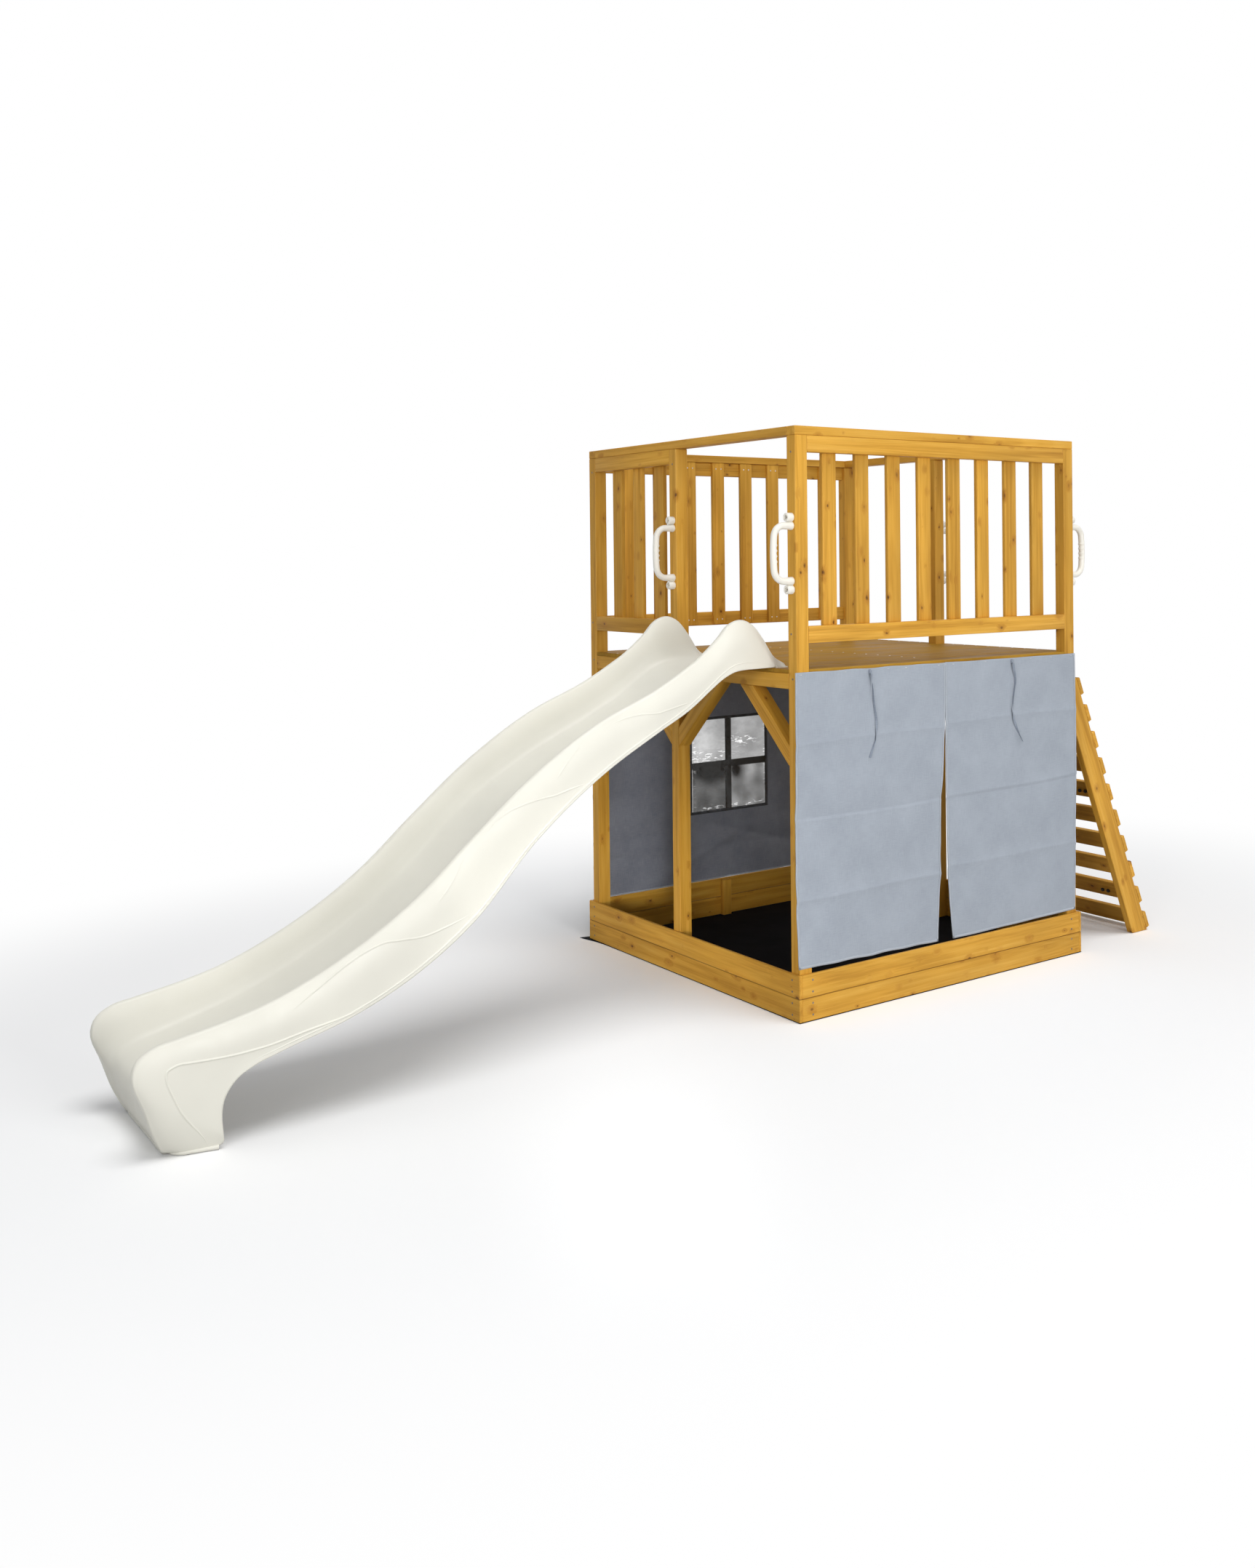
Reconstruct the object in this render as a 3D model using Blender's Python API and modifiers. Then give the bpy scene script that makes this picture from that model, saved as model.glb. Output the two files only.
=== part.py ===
# Timber cubby house with a raised deck, a moulded wavy slide and a climbing ladder.
# Metres, +Z up. +X runs from the slide to the ladder, and the curtains hang on the -Y side.
import math

import bmesh
import bpy
import numpy as np
from mathutils import Matrix, Vector

# Reach of the slide and of the ladder from the tower's middle, which centre the object on X = 0
slide_reach = 2.8984
ladder_reach = 1.2472
tower_x = (slide_reach - ladder_reach) / 2

# Driving sizes of the tower
tower_width = 1.450         # along X, over the outer faces of the posts
tower_depth = 1.300         # along Y, over the outer faces of the posts
tower_height = 2.034        # ground to the top of the cap rails
deck_height = 1.200         # ground to the deck surface
post_x = 0.055              # post section along X
post_y = 0.045              # post section along Y
middle_post_y = 0.060       # line of the two middle posts
cap_thickness = 0.031
gap = 0.0003                # clearance that meshes keep where they touch
edge_round = 0.002          # eased edges on the timber
nearly_flat = math.radians(0.5)

# Timber sections
rail_height = 0.058
rail_thickness = 0.030
slat_width = 0.064
slat_thickness = 0.016
slat_housing = 0.003        # how far a slat is let into its rails
slat_lift = 0.004           # slats start this far above the lower rails' underside
short_slat_shift = 0.008    # the slide side's slats lie this far towards the slide
lower_rail_z = 1.290        # underside of the lower rails
deck_thickness = 0.014
deck_edge_round = 0.0015
beam_height = 0.053
beam_thickness = 0.024
brace_width = 0.050
brace_reach = 0.264         # from the post to where a brace's lower edge meets the beam
joist_width = 0.045
board_thickness = 0.013
base_top = 0.161
cleat_x = -0.034
cleat_width = 0.045
cleat_depth = 0.022
cleat_drop = 0.004          # its top below the base boards' top
sheet_thickness = 0.0015

# Fabric
curtain_top = 1.191
curtain_thickness = 0.002
curtain_clearance = 0.0035  # its plane off the faces of the posts
hinge_drop = 0.001          # the line that a curtain swings about, below its top edge
fold_depth = 0.0052         # how far its folds stand out of that plane
fold_start = 6.0            # folds are full from a sixth of the height down
cloth_columns = 16
cloth_rows = 14
left_top_x = (-0.735, -0.012)       # outer and slit edge of the left curtain, from the tower's middle
left_bottom = ((-0.734, 0.181), (-0.0605, 0.171))     # its lower corners, as X and Z
right_top_x = (-0.009, 0.724)
right_bottom = ((0.0125, 0.168), (0.711, 0.1745))
slit_flare = 6.0            # the right curtain's slit edge hangs straight and turns out near its foot
wall_inset = 0.008          # the back wall's sides, in from the posts' outer faces
wall_bottom = 0.163
tape_diameter = 0.009
tape_samples = 20
window_x = (-0.205, -0.020, 0.009, 0.208)   # sides of the two columns of panes in the back wall
window_z = (0.470, 0.657, 0.684, 0.870)     # bottoms and tops of the two rows
window_lap = 0.012          # how far the clear panel laps the wall round its holes
window_thickness = 0.0015

# Ladder
ladder_lean = math.radians(22.3)
ladder_foot_x = 1.234       # outer edge of a stringer on the ground, from the tower's middle
ladder_top = 1.085
stringer_depth = 0.090
stringer_thickness = 0.028
ladder_inset = 0.039        # stringer's outer face, in from the tower's front
ladder_width = 0.652
tread_width = 0.072
tread_thickness = 0.018
tread_pitch = 0.121
tread_count = 10
first_tread_drop = 0.004    # along the stringers, from their top to the first tread
hold_width = 0.085          # climbing hold along Y
hold_height = 0.062         # up the tread
hold_depth = 0.038          # out of the tread
hold_places = (("climbing_hold_upper", 5, -0.485), ("climbing_hold_lower", 9, -0.455))   # tread, Y

# Handles
handle_height = 0.278       # over the two screw bosses
handle_middle_z = 1.598
slide_middle_handle_rise = 0.008    # the inner handle beside the slide sits this much higher
handle_reach = 0.090        # post face to the far side of the grip
grip_diameter = 0.026
grip_corner = 0.052         # radius of the grip's two bends
grip_corner_steps = 5
grip_root = 0.004           # where the grip starts inside its foot
grip_draw = 0.012           # how far its ends draw in before the bends
boss_diameter = 0.031
boss_taper = 0.002
boss_length = 0.024
handle_foot_depth = 0.012
handle_foot_height = 0.036

# Slide
slide_y = -0.280            # middle of the slide
slide_wall = 0.005
slide_rim = 0.014           # half the width of the rolled top edge
slide_half_foot = 0.242     # half width over the lower edges of the sides
slide_half_rim = 0.232      # half width over the rolled edges
slide_half_bed = 0.140      # half width of the flat bed
foot_height = 0.230         # below this the foot draws in towards the ground
foot_draw = 0.17            # share of the rims' and the bed's width that it loses
foot_edge_draw = 0.11       # share of the width over the lower edges
slide_sections = 40         # sections that the skin is lofted through
rim_limit = 0.45            # largest share of a side's height that its rolled edge may take
eighth_turn = 1 - math.sqrt(0.5)
bed_fillet = ((0.042, 0.30), (0.024, 0.08))   # beyond the bed's edge, and share of the rise to the rim

half_width = tower_width / 2
half_depth = tower_depth / 2
under_cap = tower_height - cap_thickness
front_post_y = -half_depth + post_y / 2
back_post_y = half_depth - post_y / 2
slide_post_x = -half_width + post_x / 2
ladder_post_x = half_width - post_x / 2
post_foot = sheet_thickness + gap

# Turns that stand a flat outline up: drawn in X and Z, or in Y and Z
face_along_y = (math.pi / 2, 0.0, 0.0)
face_along_x = (math.pi / 2, 0.0, math.pi / 2)


def clear_scene():
    for thing in list(bpy.data.objects):
        bpy.data.objects.remove(thing, do_unlink=True)


def make_collection(name):
    group = bpy.data.collections.new(name)
    bpy.context.scene.collection.children.link(group)
    return group


def make_material(name, colour, roughness, metallic=0.0):
    material = bpy.data.materials.new(name)
    material.use_nodes = True
    shader = material.node_tree.nodes["Principled BSDF"]
    shader.inputs["Base Color"].default_value = (*colour, 1.0)
    shader.inputs["Roughness"].default_value = roughness
    shader.inputs["Metallic"].default_value = metallic
    material.diffuse_color = (*colour, 1.0)
    return material


def place(name, shape, material, location=(0.0, 0.0, 0.0), turn=(0.0, 0.0, 0.0)):
    """Put a mesh or a curve in the parts collection; the location is given from the tower's middle."""
    shape.materials.clear()
    shape.materials.append(material)
    thing = bpy.data.objects.new(name, shape)
    thing.location = (location[0] + tower_x, location[1], location[2])
    thing.rotation_euler = turn
    parts.objects.link(thing)
    return thing


def finish_mesh(shape, name):
    bmesh.ops.recalc_face_normals(shape, faces=shape.faces)
    mesh = bpy.data.meshes.new(name)
    shape.to_mesh(mesh)
    shape.free()
    return mesh


def ease_edges(thing, width=edge_round):
    bevel = thing.modifiers.new("eased edges", "BEVEL")
    bevel.width = width
    bevel.segments = 1
    bevel.limit_method = "ANGLE"
    bevel.angle_limit = math.radians(30)


def give_thickness(thing, thickness, side):
    """Side is -1 for a wall behind the surface, and 1 for one in front of it."""
    shell = thing.modifiers.new("thickness", "SOLIDIFY")
    shell.thickness = thickness
    shell.offset = side


def timber(name, x, y, z, material=None):
    """A straight board between pairs of X, Y and Z, measured from the tower's middle."""
    low = Vector((x[0], y[0], z[0]))
    high = Vector((x[1], y[1], z[1]))
    shape = bmesh.new()
    bmesh.ops.create_cube(shape, size=1.0)
    bmesh.ops.scale(shape, vec=high - low, verts=shape.verts)
    thing = place(name, finish_mesh(shape, name), material or pine, (low + high) / 2)
    ease_edges(thing)
    return thing


def draw_line(curve, points, closed=False):
    line = curve.splines.new("POLY")
    line.points.add(len(points) - 1)
    for point, (px, py, pz) in zip(line.points, points):
        point.co = (px, py, pz, 1.0)
    line.use_cyclic_u = closed


def cut_board(name, outline, thickness, middle, turn=(0.0, 0.0, 0.0), material=None, round_by=edge_round):
    """A board cut to an outline, as a filled flat curve about the middle of its thickness."""
    curve = bpy.data.curves.new(name, "CURVE")
    curve.dimensions = "2D"
    curve.fill_mode = "BOTH"
    curve.extrude = thickness / 2
    draw_line(curve, [(*corner, 0.0) for corner in outline], closed=True)
    thing = place(name, curve, material or pine, middle, turn)
    weld = thing.modifiers.new("joined faces", "WELD")
    weld.merge_threshold = 0.0001
    ease_edges(thing, round_by)
    return thing


def round_bar(name, points, diameter):
    """A tube through a line of points, as a curve with a bevel and filled ends."""
    curve = bpy.data.curves.new(name, "CURVE")
    curve.dimensions = "3D"
    curve.bevel_depth = diameter / 2
    curve.bevel_resolution = 2
    curve.use_fill_caps = True
    draw_line(curve, points)
    return curve


def united(name, pieces):
    """One mesh from overlapping bodies, by Boolean unions that are applied; the bodies are removed."""
    body = pieces[0]
    for tool in pieces[1:]:
        union = body.modifiers.new("join", "BOOLEAN")
        union.operation = "UNION"
        union.object = tool
    bpy.context.view_layer.update()
    depsgraph = bpy.context.evaluated_depsgraph_get()
    mesh = bpy.data.meshes.new_from_object(body.evaluated_get(depsgraph))
    mesh.name = name
    mesh.transform(body.matrix_world)
    for tool in pieces:
        bpy.data.objects.remove(tool, do_unlink=True)
    shape = bmesh.new()
    shape.from_mesh(mesh)
    bmesh.ops.remove_doubles(shape, verts=shape.verts, dist=0.00005)
    bmesh.ops.dissolve_limit(shape, angle_limit=nearly_flat, verts=shape.verts, edges=shape.edges)
    shape.to_mesh(mesh)
    shape.free()
    return mesh


def build_posts():
    for name, middle_x, middle_y in (
        ("post_slide_back", slide_post_x, back_post_y),
        ("post_slide_middle", slide_post_x, middle_post_y),
        ("post_slide_front", slide_post_x, front_post_y),
        ("post_ladder_front", ladder_post_x, front_post_y),
        ("post_ladder_middle", ladder_post_x, middle_post_y),
        ("post_ladder_back", ladder_post_x, back_post_y),
    ):
        timber(
            name,
            (middle_x - post_x / 2, middle_x + post_x / 2),
            (middle_y - post_y / 2, middle_y + post_y / 2),
            (post_foot, under_cap - gap),
        )


def build_caps():
    z = (under_cap, tower_height)
    long_x = (-half_width, half_width)
    timber("cap_front", long_x, (-half_depth, -half_depth + post_y), z)
    timber("cap_back", long_x, (half_depth - post_y, half_depth), z)
    short_y = (-half_depth + post_y + gap, half_depth - post_y - gap)
    timber("cap_slide_side", (-half_width, -half_width + post_x), short_y, z)
    timber("cap_ladder_side", (half_width - post_x, half_width), short_y, z)


def slat_starts(start, end, count):
    """Left edges of evenly spread slats with equal gaps, also at both ends."""
    space = (end - start - count * slat_width) / (count + 1)
    return [start + space + number * (slat_width + space) for number in range(count)]


def build_balustrade(name, rail_boards, slat_boards):
    """One panel: two rails with slats housed into their inner faces."""
    boards = [timber(f"{name}_board_{number}", *board) for number, board in enumerate(rail_boards + slat_boards)]
    mesh = united(name, boards)
    mesh.transform(Matrix.Translation((-tower_x, 0.0, 0.0)))
    place(name, mesh, pine)


def build_balustrades():
    """Panels across the front and the back, and a short one on the slide side past the middle post."""
    rail_spans = (
        (under_cap - rail_height, under_cap - gap),
        (lower_rail_z, lower_rail_z + rail_height),
    )
    slat_span = (lower_rail_z + slat_lift, under_cap - 2 * gap)
    for name, side in (("balustrade_front", -1), ("balustrade_back", 1)):
        x = (-half_width + post_x + gap, half_width - post_x - gap)
        inner = side * (half_depth - rail_thickness)
        y = sorted((side * half_depth, inner))
        slat_y = sorted((inner + side * slat_housing, inner + side * (slat_housing - slat_thickness)))
        slats = [((start, start + slat_width), slat_y, slat_span) for start in slat_starts(*x, 8)]
        build_balustrade(name, [(x, y, z) for z in rail_spans], slats)
    y = (middle_post_y + post_y / 2 + gap, half_depth - post_y - gap)
    x = (-half_width, -half_width + rail_thickness)
    slat_x = (x[1] - slat_housing, x[1] - slat_housing + slat_thickness)
    starts = [start - short_slat_shift for start in slat_starts(*y, 3)]
    slats = [(slat_x, (start, start + slat_width), slat_span) for start in starts]
    build_balustrade("balustrade_slide_side", [(x, y, z) for z in rail_spans], slats)


def build_deck():
    """The deck board reaches the outer faces of the posts and is notched round all six."""
    x = half_width
    y = half_depth
    notch_x = post_x + gap
    notch_y = post_y + gap
    low_middle = middle_post_y - post_y / 2 - gap
    high_middle = middle_post_y + post_y / 2 + gap
    right_side = [
        (x - notch_x, -y),
        (x - notch_x, -y + notch_y),
        (x, -y + notch_y),
        (x, low_middle),
        (x - notch_x, low_middle),
        (x - notch_x, high_middle),
        (x, high_middle),
        (x, y - notch_y),
        (x - notch_x, y - notch_y),
        (x - notch_x, y),
    ]
    left_side = [(-px, py) for px, py in reversed(right_side)]
    middle = (0.0, 0.0, deck_height - deck_thickness / 2)
    cut_board("deck", right_side + left_side, deck_thickness, middle, (0.0, 0.0, 0.0), deck_wood, deck_edge_round)


def build_deck_beams():
    top = deck_height - deck_thickness - gap
    z = (top - beam_height, top)
    long_x = (-half_width + post_x + gap, half_width - post_x - gap)
    timber("beam_front", long_x, (-half_depth, -half_depth + beam_thickness), z)
    timber("beam_back", long_x, (half_depth - beam_thickness, half_depth), z)
    front_bay = (-half_depth + post_y + gap, middle_post_y - post_y / 2 - gap)
    back_bay = (middle_post_y + post_y / 2 + gap, half_depth - post_y - gap)
    for side, x in (
        ("slide", (-half_width, -half_width + post_x)),
        ("ladder", (half_width - post_x, half_width)),
    ):
        timber(f"beam_{side}_side_front", x, front_bay, z)
        timber(f"beam_{side}_side_back", x, back_bay, z)
    joist_y = (-half_depth + beam_thickness + gap, half_depth - beam_thickness - gap)
    timber("deck_joist", (-joist_width / 2, joist_width / 2), joist_y, z)


def build_braces():
    """Four 45 degree knee braces between the posts and the beams of the slide side."""
    beam_bottom = deck_height - deck_thickness - beam_height - 2 * gap
    slope_width = brace_width * math.sqrt(2)
    back_bay = half_depth - post_y - middle_post_y - post_y / 2
    short_reach = min(brace_reach, back_bay / 2 - 2 * gap)
    for name, post_face, direction, reach in (
        ("brace_front", -half_depth + post_y + gap, 1, brace_reach),
        ("brace_middle_front", middle_post_y - post_y / 2 - gap, -1, brace_reach),
        ("brace_middle_back", middle_post_y + post_y / 2 + gap, 1, short_reach),
        ("brace_back", half_depth - post_y - gap, -1, short_reach),
    ):
        outline = [
            (post_face, beam_bottom - reach),
            (post_face + direction * reach, beam_bottom),
            (post_face + direction * (reach - slope_width), beam_bottom),
            (post_face, beam_bottom - reach + slope_width),
        ]
        cut_board(name, outline, post_x, (slide_post_x, 0.0, 0.0), face_along_x)


def build_base():
    """Sand pit frame: two boards high on each side, on a ground sheet, with a cleat at the back."""
    inner_x = half_width + gap
    inner_y = half_depth + gap
    outer_x = inner_x + board_thickness
    outer_y = inner_y + board_thickness
    seam = (post_foot + base_top) / 2
    for level, z in (("lower", (post_foot, seam - gap / 2)), ("upper", (seam + gap / 2, base_top))):
        timber(f"base_slide_side_{level}", (-outer_x, -inner_x), (-outer_y, outer_y), z)
        timber(f"base_ladder_side_{level}", (inner_x, outer_x), (-outer_y, outer_y), z)
        timber(f"base_front_{level}", (-inner_x + gap, inner_x - gap), (-outer_y, -inner_y), z)
        timber(f"base_back_{level}", (-inner_x + gap, inner_x - gap), (inner_y, outer_y), z)
    timber(
        "base_cleat",
        (cleat_x - cleat_width / 2, cleat_x + cleat_width / 2),
        (half_depth - cleat_depth, half_depth),
        (post_foot, base_top - cleat_drop),
    )
    sheet = timber("ground_sheet", (-outer_x, outer_x), (-outer_y, outer_y), (0.0, sheet_thickness), sheet_black)
    sheet.modifiers.clear()


def along(points, count):
    """Even samples of a smooth curve through chosen points, by cubic Hermite pieces."""
    points = np.asarray(points, float)
    chord = np.concatenate([[0.0], np.cumsum(np.linalg.norm(np.diff(points, axis=0), axis=1))])
    tangent = np.gradient(points, chord, axis=0)
    where = np.linspace(0.0, chord[-1], count)
    piece = np.clip(np.searchsorted(chord, where, side="right") - 1, 0, len(chord) - 2)
    length = (chord[piece + 1] - chord[piece])[:, None]
    t = ((where - chord[piece])[:, None]) / length
    start, end = points[piece], points[piece + 1]
    return (
        (2 * t**3 - 3 * t**2 + 1) * start
        + (t**3 - 2 * t**2 + t) * length * tangent[piece]
        + (-2 * t**3 + 3 * t**2) * end
        + (t**3 - t**2) * length * tangent[piece + 1]
    )


# Stations down the slide: rim, bed and lower edge of the side, each as X and Z from the tower's middle
slide_stations = [
    (-0.6620, 1.2150, -0.662, 1.2060, -0.662, 1.2035),
    (-0.7050, 1.2400, -0.705, 1.2060, -0.705, 1.2030),
    (-0.7550, 1.3060, -0.755, 1.2060, -0.755, 1.2020),
    (-0.8000, 1.3540, -0.800, 1.2060, -0.800, 1.2010),
    (-0.8500, 1.3720, -0.850, 1.2050, -0.848, 1.2000),
    (-0.9000, 1.3580, -0.895, 1.2010, -0.890, 1.1950),
    (-0.9500, 1.3110, -0.945, 1.1840, -0.938, 1.1760),
    (-1.0200, 1.2560, -1.000, 1.1530, -0.990, 1.1430),
    (-1.1000, 1.2080, -1.090, 1.0950, -1.082, 1.0800),
    (-1.2000, 1.1560, -1.200, 1.0380, -1.200, 1.0200),
    (-1.4400, 1.0570, -1.440, 0.9300, -1.440, 0.8900),
    (-1.6800, 0.9130, -1.680, 0.7940, -1.680, 0.7130),
    (-1.8900, 0.7480, -1.890, 0.6230, -1.890, 0.5050),
    (-2.0800, 0.5910, -2.080, 0.4720, -2.070, 0.3840),
    (-2.3200, 0.4500, -2.320, 0.3430, -2.290, 0.2870),
    (-2.5600, 0.3580, -2.540, 0.2600, -2.500, 0.2320),
    (-2.6800, 0.3330, -2.640, 0.2320, -2.580, 0.2080),
    (-2.7800, 0.3170, -2.730, 0.2100, -2.634, 0.1760),
    (-2.8500, 0.3030, -2.800, 0.1900, -2.664, 0.1300),
    (-2.8912, 0.2750, -2.838, 0.1640, -2.670, 0.0880),
    (-2.9047, 0.2300, -2.850, 0.1250, -2.667, 0.0450),
    (-2.8770, 0.1500, -2.843, 0.0800, -2.668, 0.0150),
    (-2.8480, 0.0650, -2.829, 0.0350, -2.712, 0.0030),
    (-2.8160, 0.0004, -2.812, 0.0004, -2.765, 0.0004),
]


def slide_surface(station_count):
    """Points of the slide's upper skin: across each station from one lower edge to the other."""
    stations = along(slide_stations, station_count)
    rim, bed, under = stations[:, 0:2], stations[:, 2:4], stations[:, 4:6]
    outer_drop = np.minimum(slide_rim / np.linalg.norm(rim - under, axis=1), rim_limit)[:, None]
    inner_drop = np.minimum(slide_rim / np.linalg.norm(rim - bed, axis=1), rim_limit)[:, None]
    lowering = np.clip(1 - rim[:, 1] / foot_height, 0.0, 1.0)
    narrowed = 1 - foot_draw * lowering**3
    half = [np.column_stack([under[:, 0], -slide_half_foot * (1 - foot_edge_draw * lowering**1.5), under[:, 1]])]
    for offset, start, end, share in (
        (slide_half_rim, rim, under, outer_drop),
        (slide_half_rim - eighth_turn * slide_rim, rim, under, eighth_turn * outer_drop),
        (slide_half_rim - slide_rim, rim, under, 0.0),
        (slide_half_rim - (2 - eighth_turn) * slide_rim, rim, bed, eighth_turn * inner_drop),
        (slide_half_rim - 2 * slide_rim, rim, bed, inner_drop),
        *((slide_half_bed + beyond, bed, rim, rise) for beyond, rise in bed_fillet),
        (slide_half_bed, bed, rim, 0.0),
    ):
        place_xz = start + (end - start) * share
        half.append(np.column_stack([place_xz[:, 0], -offset * narrowed, place_xz[:, 1]]))
    other = [points * (1.0, -1.0, 1.0) for points in reversed(half)]
    return np.stack(half + other, axis=1)


def build_slide():
    """An open skin lofted through the stations, given its wall."""
    grid = slide_surface(slide_sections)
    stations, across = grid.shape[:2]
    shape = bmesh.new()
    points = [[shape.verts.new(grid[i, j]) for j in range(across)] for i in range(stations)]
    for i in range(stations - 1):
        for j in range(across - 1):
            shape.faces.new((points[i][j], points[i][j + 1], points[i + 1][j + 1], points[i + 1][j]))
    mesh = bpy.data.meshes.new("slide")
    shape.to_mesh(mesh)
    shape.free()
    mesh.shade_smooth()
    give_thickness(place("slide", mesh, slide_plastic, (0.0, slide_y, 0.0)), slide_wall, -1.0)


def construction_body(name, shape):
    """A body for a Boolean, kept with the cutters until the union removes it."""
    body = bpy.data.objects.new(name, shape)
    cutters.objects.link(body)
    return body


def handle_grip(grip_half):
    """The bowed bar: out of the post, round a quarter circle, up, and back the same way."""
    reach = handle_reach - grip_diameter / 2
    route = [(grip_root, 0.0, grip_root - grip_half)]
    for step in range(grip_corner_steps + 1):
        angle = math.pi / 2 * step / grip_corner_steps
        px = reach - grip_corner * (1 - math.sin(angle))
        pz = grip_draw - grip_half + grip_corner * (1 - math.cos(angle))
        route.append((px, 0.0, pz))
    route += [(px, 0.0, -pz) for px, _, pz in reversed(route)]
    bar = construction_body("handle_path", round_bar("handle", route, grip_diameter))
    bpy.context.view_layer.update()
    mesh = bpy.data.meshes.new_from_object(bar.evaluated_get(bpy.context.evaluated_depsgraph_get()))
    bpy.data.objects.remove(bar, do_unlink=True)
    shape = bmesh.new()
    shape.from_mesh(mesh)
    bmesh.ops.remove_doubles(shape, verts=shape.verts, dist=0.0001)
    return construction_body("handle_grip", finish_mesh(shape, "handle_grip"))


def handle_mesh():
    """A grip with a foot on the post and a round screw boss past each end; it is mounted at X = 0."""
    grip_half = handle_height / 2 - boss_diameter
    bodies = [handle_grip(grip_half)]
    for side in (-1, 1):
        boss_middle = Matrix.Translation((boss_length / 2, 0.0, side * (handle_height - boss_diameter) / 2))
        boss = bmesh.new()
        bmesh.ops.create_cone(
            boss, cap_ends=True, segments=12, radius1=boss_diameter / 2, radius2=boss_diameter / 2 - boss_taper,
            depth=boss_length, matrix=boss_middle @ Matrix.Rotation(math.pi / 2, 4, "Y"),
        )
        bodies.append(construction_body("handle_boss", finish_mesh(boss, "handle_boss")))
        foot_middle = Matrix.Translation((handle_foot_depth / 2, 0.0, side * (grip_half + grip_root)))
        foot = bmesh.new()
        bmesh.ops.create_cube(
            foot, size=1.0,
            matrix=foot_middle @ Matrix.Diagonal((handle_foot_depth, grip_diameter, handle_foot_height, 1.0)),
        )
        bodies.append(construction_body("handle_foot", finish_mesh(foot, "handle_foot")))
    mesh = united("handle", bodies)
    shape = bmesh.new()
    shape.from_mesh(mesh)
    for point in shape.verts:
        point.co.x = max(point.co.x, 0.0)
    bmesh.ops.remove_doubles(shape, verts=shape.verts, dist=0.0001)
    shape.to_mesh(mesh)
    shape.free()
    return mesh


def build_handles():
    mesh = handle_mesh()
    for name, face_x, middle_y, rise, turn in (
        ("handle_slide_front", -half_width - gap, front_post_y, 0.0, math.pi),
        ("handle_slide_middle", -half_width - gap, middle_post_y, slide_middle_handle_rise, math.pi),
        ("handle_ladder_front", half_width + gap, front_post_y, 0.0, 0.0),
        ("handle_ladder_middle", half_width + gap, middle_post_y, 0.0, 0.0),
    ):
        place(name, mesh, handle_plastic, (face_x, middle_y, handle_middle_z + rise), (0.0, 0.0, turn))


def ladder_edge(z):
    """X of the stringers' outer edge at a height."""
    return ladder_foot_x - z * math.tan(ladder_lean)


def build_ladder():
    flat_depth = stringer_depth / math.cos(ladder_lean)
    wall_x = half_width + gap
    meet_z = (ladder_foot_x - flat_depth - wall_x) / math.tan(ladder_lean)
    outline = [
        (ladder_edge(0.0) - flat_depth, 0.0),
        (ladder_edge(0.0), 0.0),
        (ladder_edge(ladder_top), ladder_top),
        (wall_x, ladder_top),
        (wall_x, meet_z),
    ]
    near = -half_depth + ladder_inset
    far = near + ladder_width
    for name, middle_y in (
        ("ladder_stringer_front", near + stringer_thickness / 2),
        ("ladder_stringer_back", far - stringer_thickness / 2),
    ):
        cut_board(name, outline, stringer_thickness, (0.0, middle_y, 0.0), face_along_y)
    down = Vector((math.sin(ladder_lean), -math.cos(ladder_lean)))
    outward = Vector((math.cos(ladder_lean), math.sin(ladder_lean)))
    first = Vector((ladder_edge(ladder_top), ladder_top)) + outward * gap + down * first_tread_drop
    for number in range(tread_count):
        corner = first + down * (number * tread_pitch)
        outline = [
            corner,
            corner + down * tread_width,
            corner + down * tread_width + outward * tread_thickness,
            corner + outward * tread_thickness,
        ]
        middle = (0.0, (near + far) / 2, 0.0)
        cut_board(f"ladder_tread_{number + 1:02d}", outline, ladder_width, middle, face_along_y)


def build_climbing_holds():
    """Domed holds bolted to the fronts of two treads: a squashed half sphere with a flat back."""
    outward = Vector((math.cos(ladder_lean), 0.0, math.sin(ladder_lean)))
    down = Vector((math.sin(ladder_lean), 0.0, -math.cos(ladder_lean)))
    turn = Matrix((down, (0.0, -1.0, 0.0), outward)).transposed().to_4x4()
    for name, tread, middle_y in hold_places:
        shape = bmesh.new()
        bmesh.ops.create_uvsphere(shape, u_segments=16, v_segments=8, radius=0.5)
        everything = [*shape.verts, *shape.edges, *shape.faces]
        bmesh.ops.bisect_plane(shape, geom=everything, plane_co=(0, 0, 0), plane_no=(0, 0, 1), clear_inner=True)
        bmesh.ops.contextual_create(shape, geom=[edge for edge in shape.edges if edge.is_boundary])
        bmesh.ops.scale(shape, vec=(hold_height, hold_width, 2 * hold_depth), verts=shape.verts)
        along_ladder = first_tread_drop + (tread - 1) * tread_pitch + tread_width / 2
        middle = Vector((ladder_edge(ladder_top), middle_y, ladder_top)) + down * along_ladder
        middle += outward * (tread_thickness + 2 * gap)
        bmesh.ops.transform(shape, matrix=Matrix.Translation(middle) @ turn, verts=shape.verts)
        mesh = finish_mesh(shape, name)
        mesh.shade_smooth()
        place(name, mesh, hold_plastic)


def spread(stops, cells):
    """Even steps between each pair of stops, about so many cells in all."""
    total = stops[-1] - stops[0]
    runs = []
    for start, end in zip(stops[:-1], stops[1:]):
        count = max(2, round(cells * (end - start) / total))
        runs.append(np.linspace(start, end, count, endpoint=False))
    return np.concatenate(runs + [[stops[-1]]])


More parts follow.
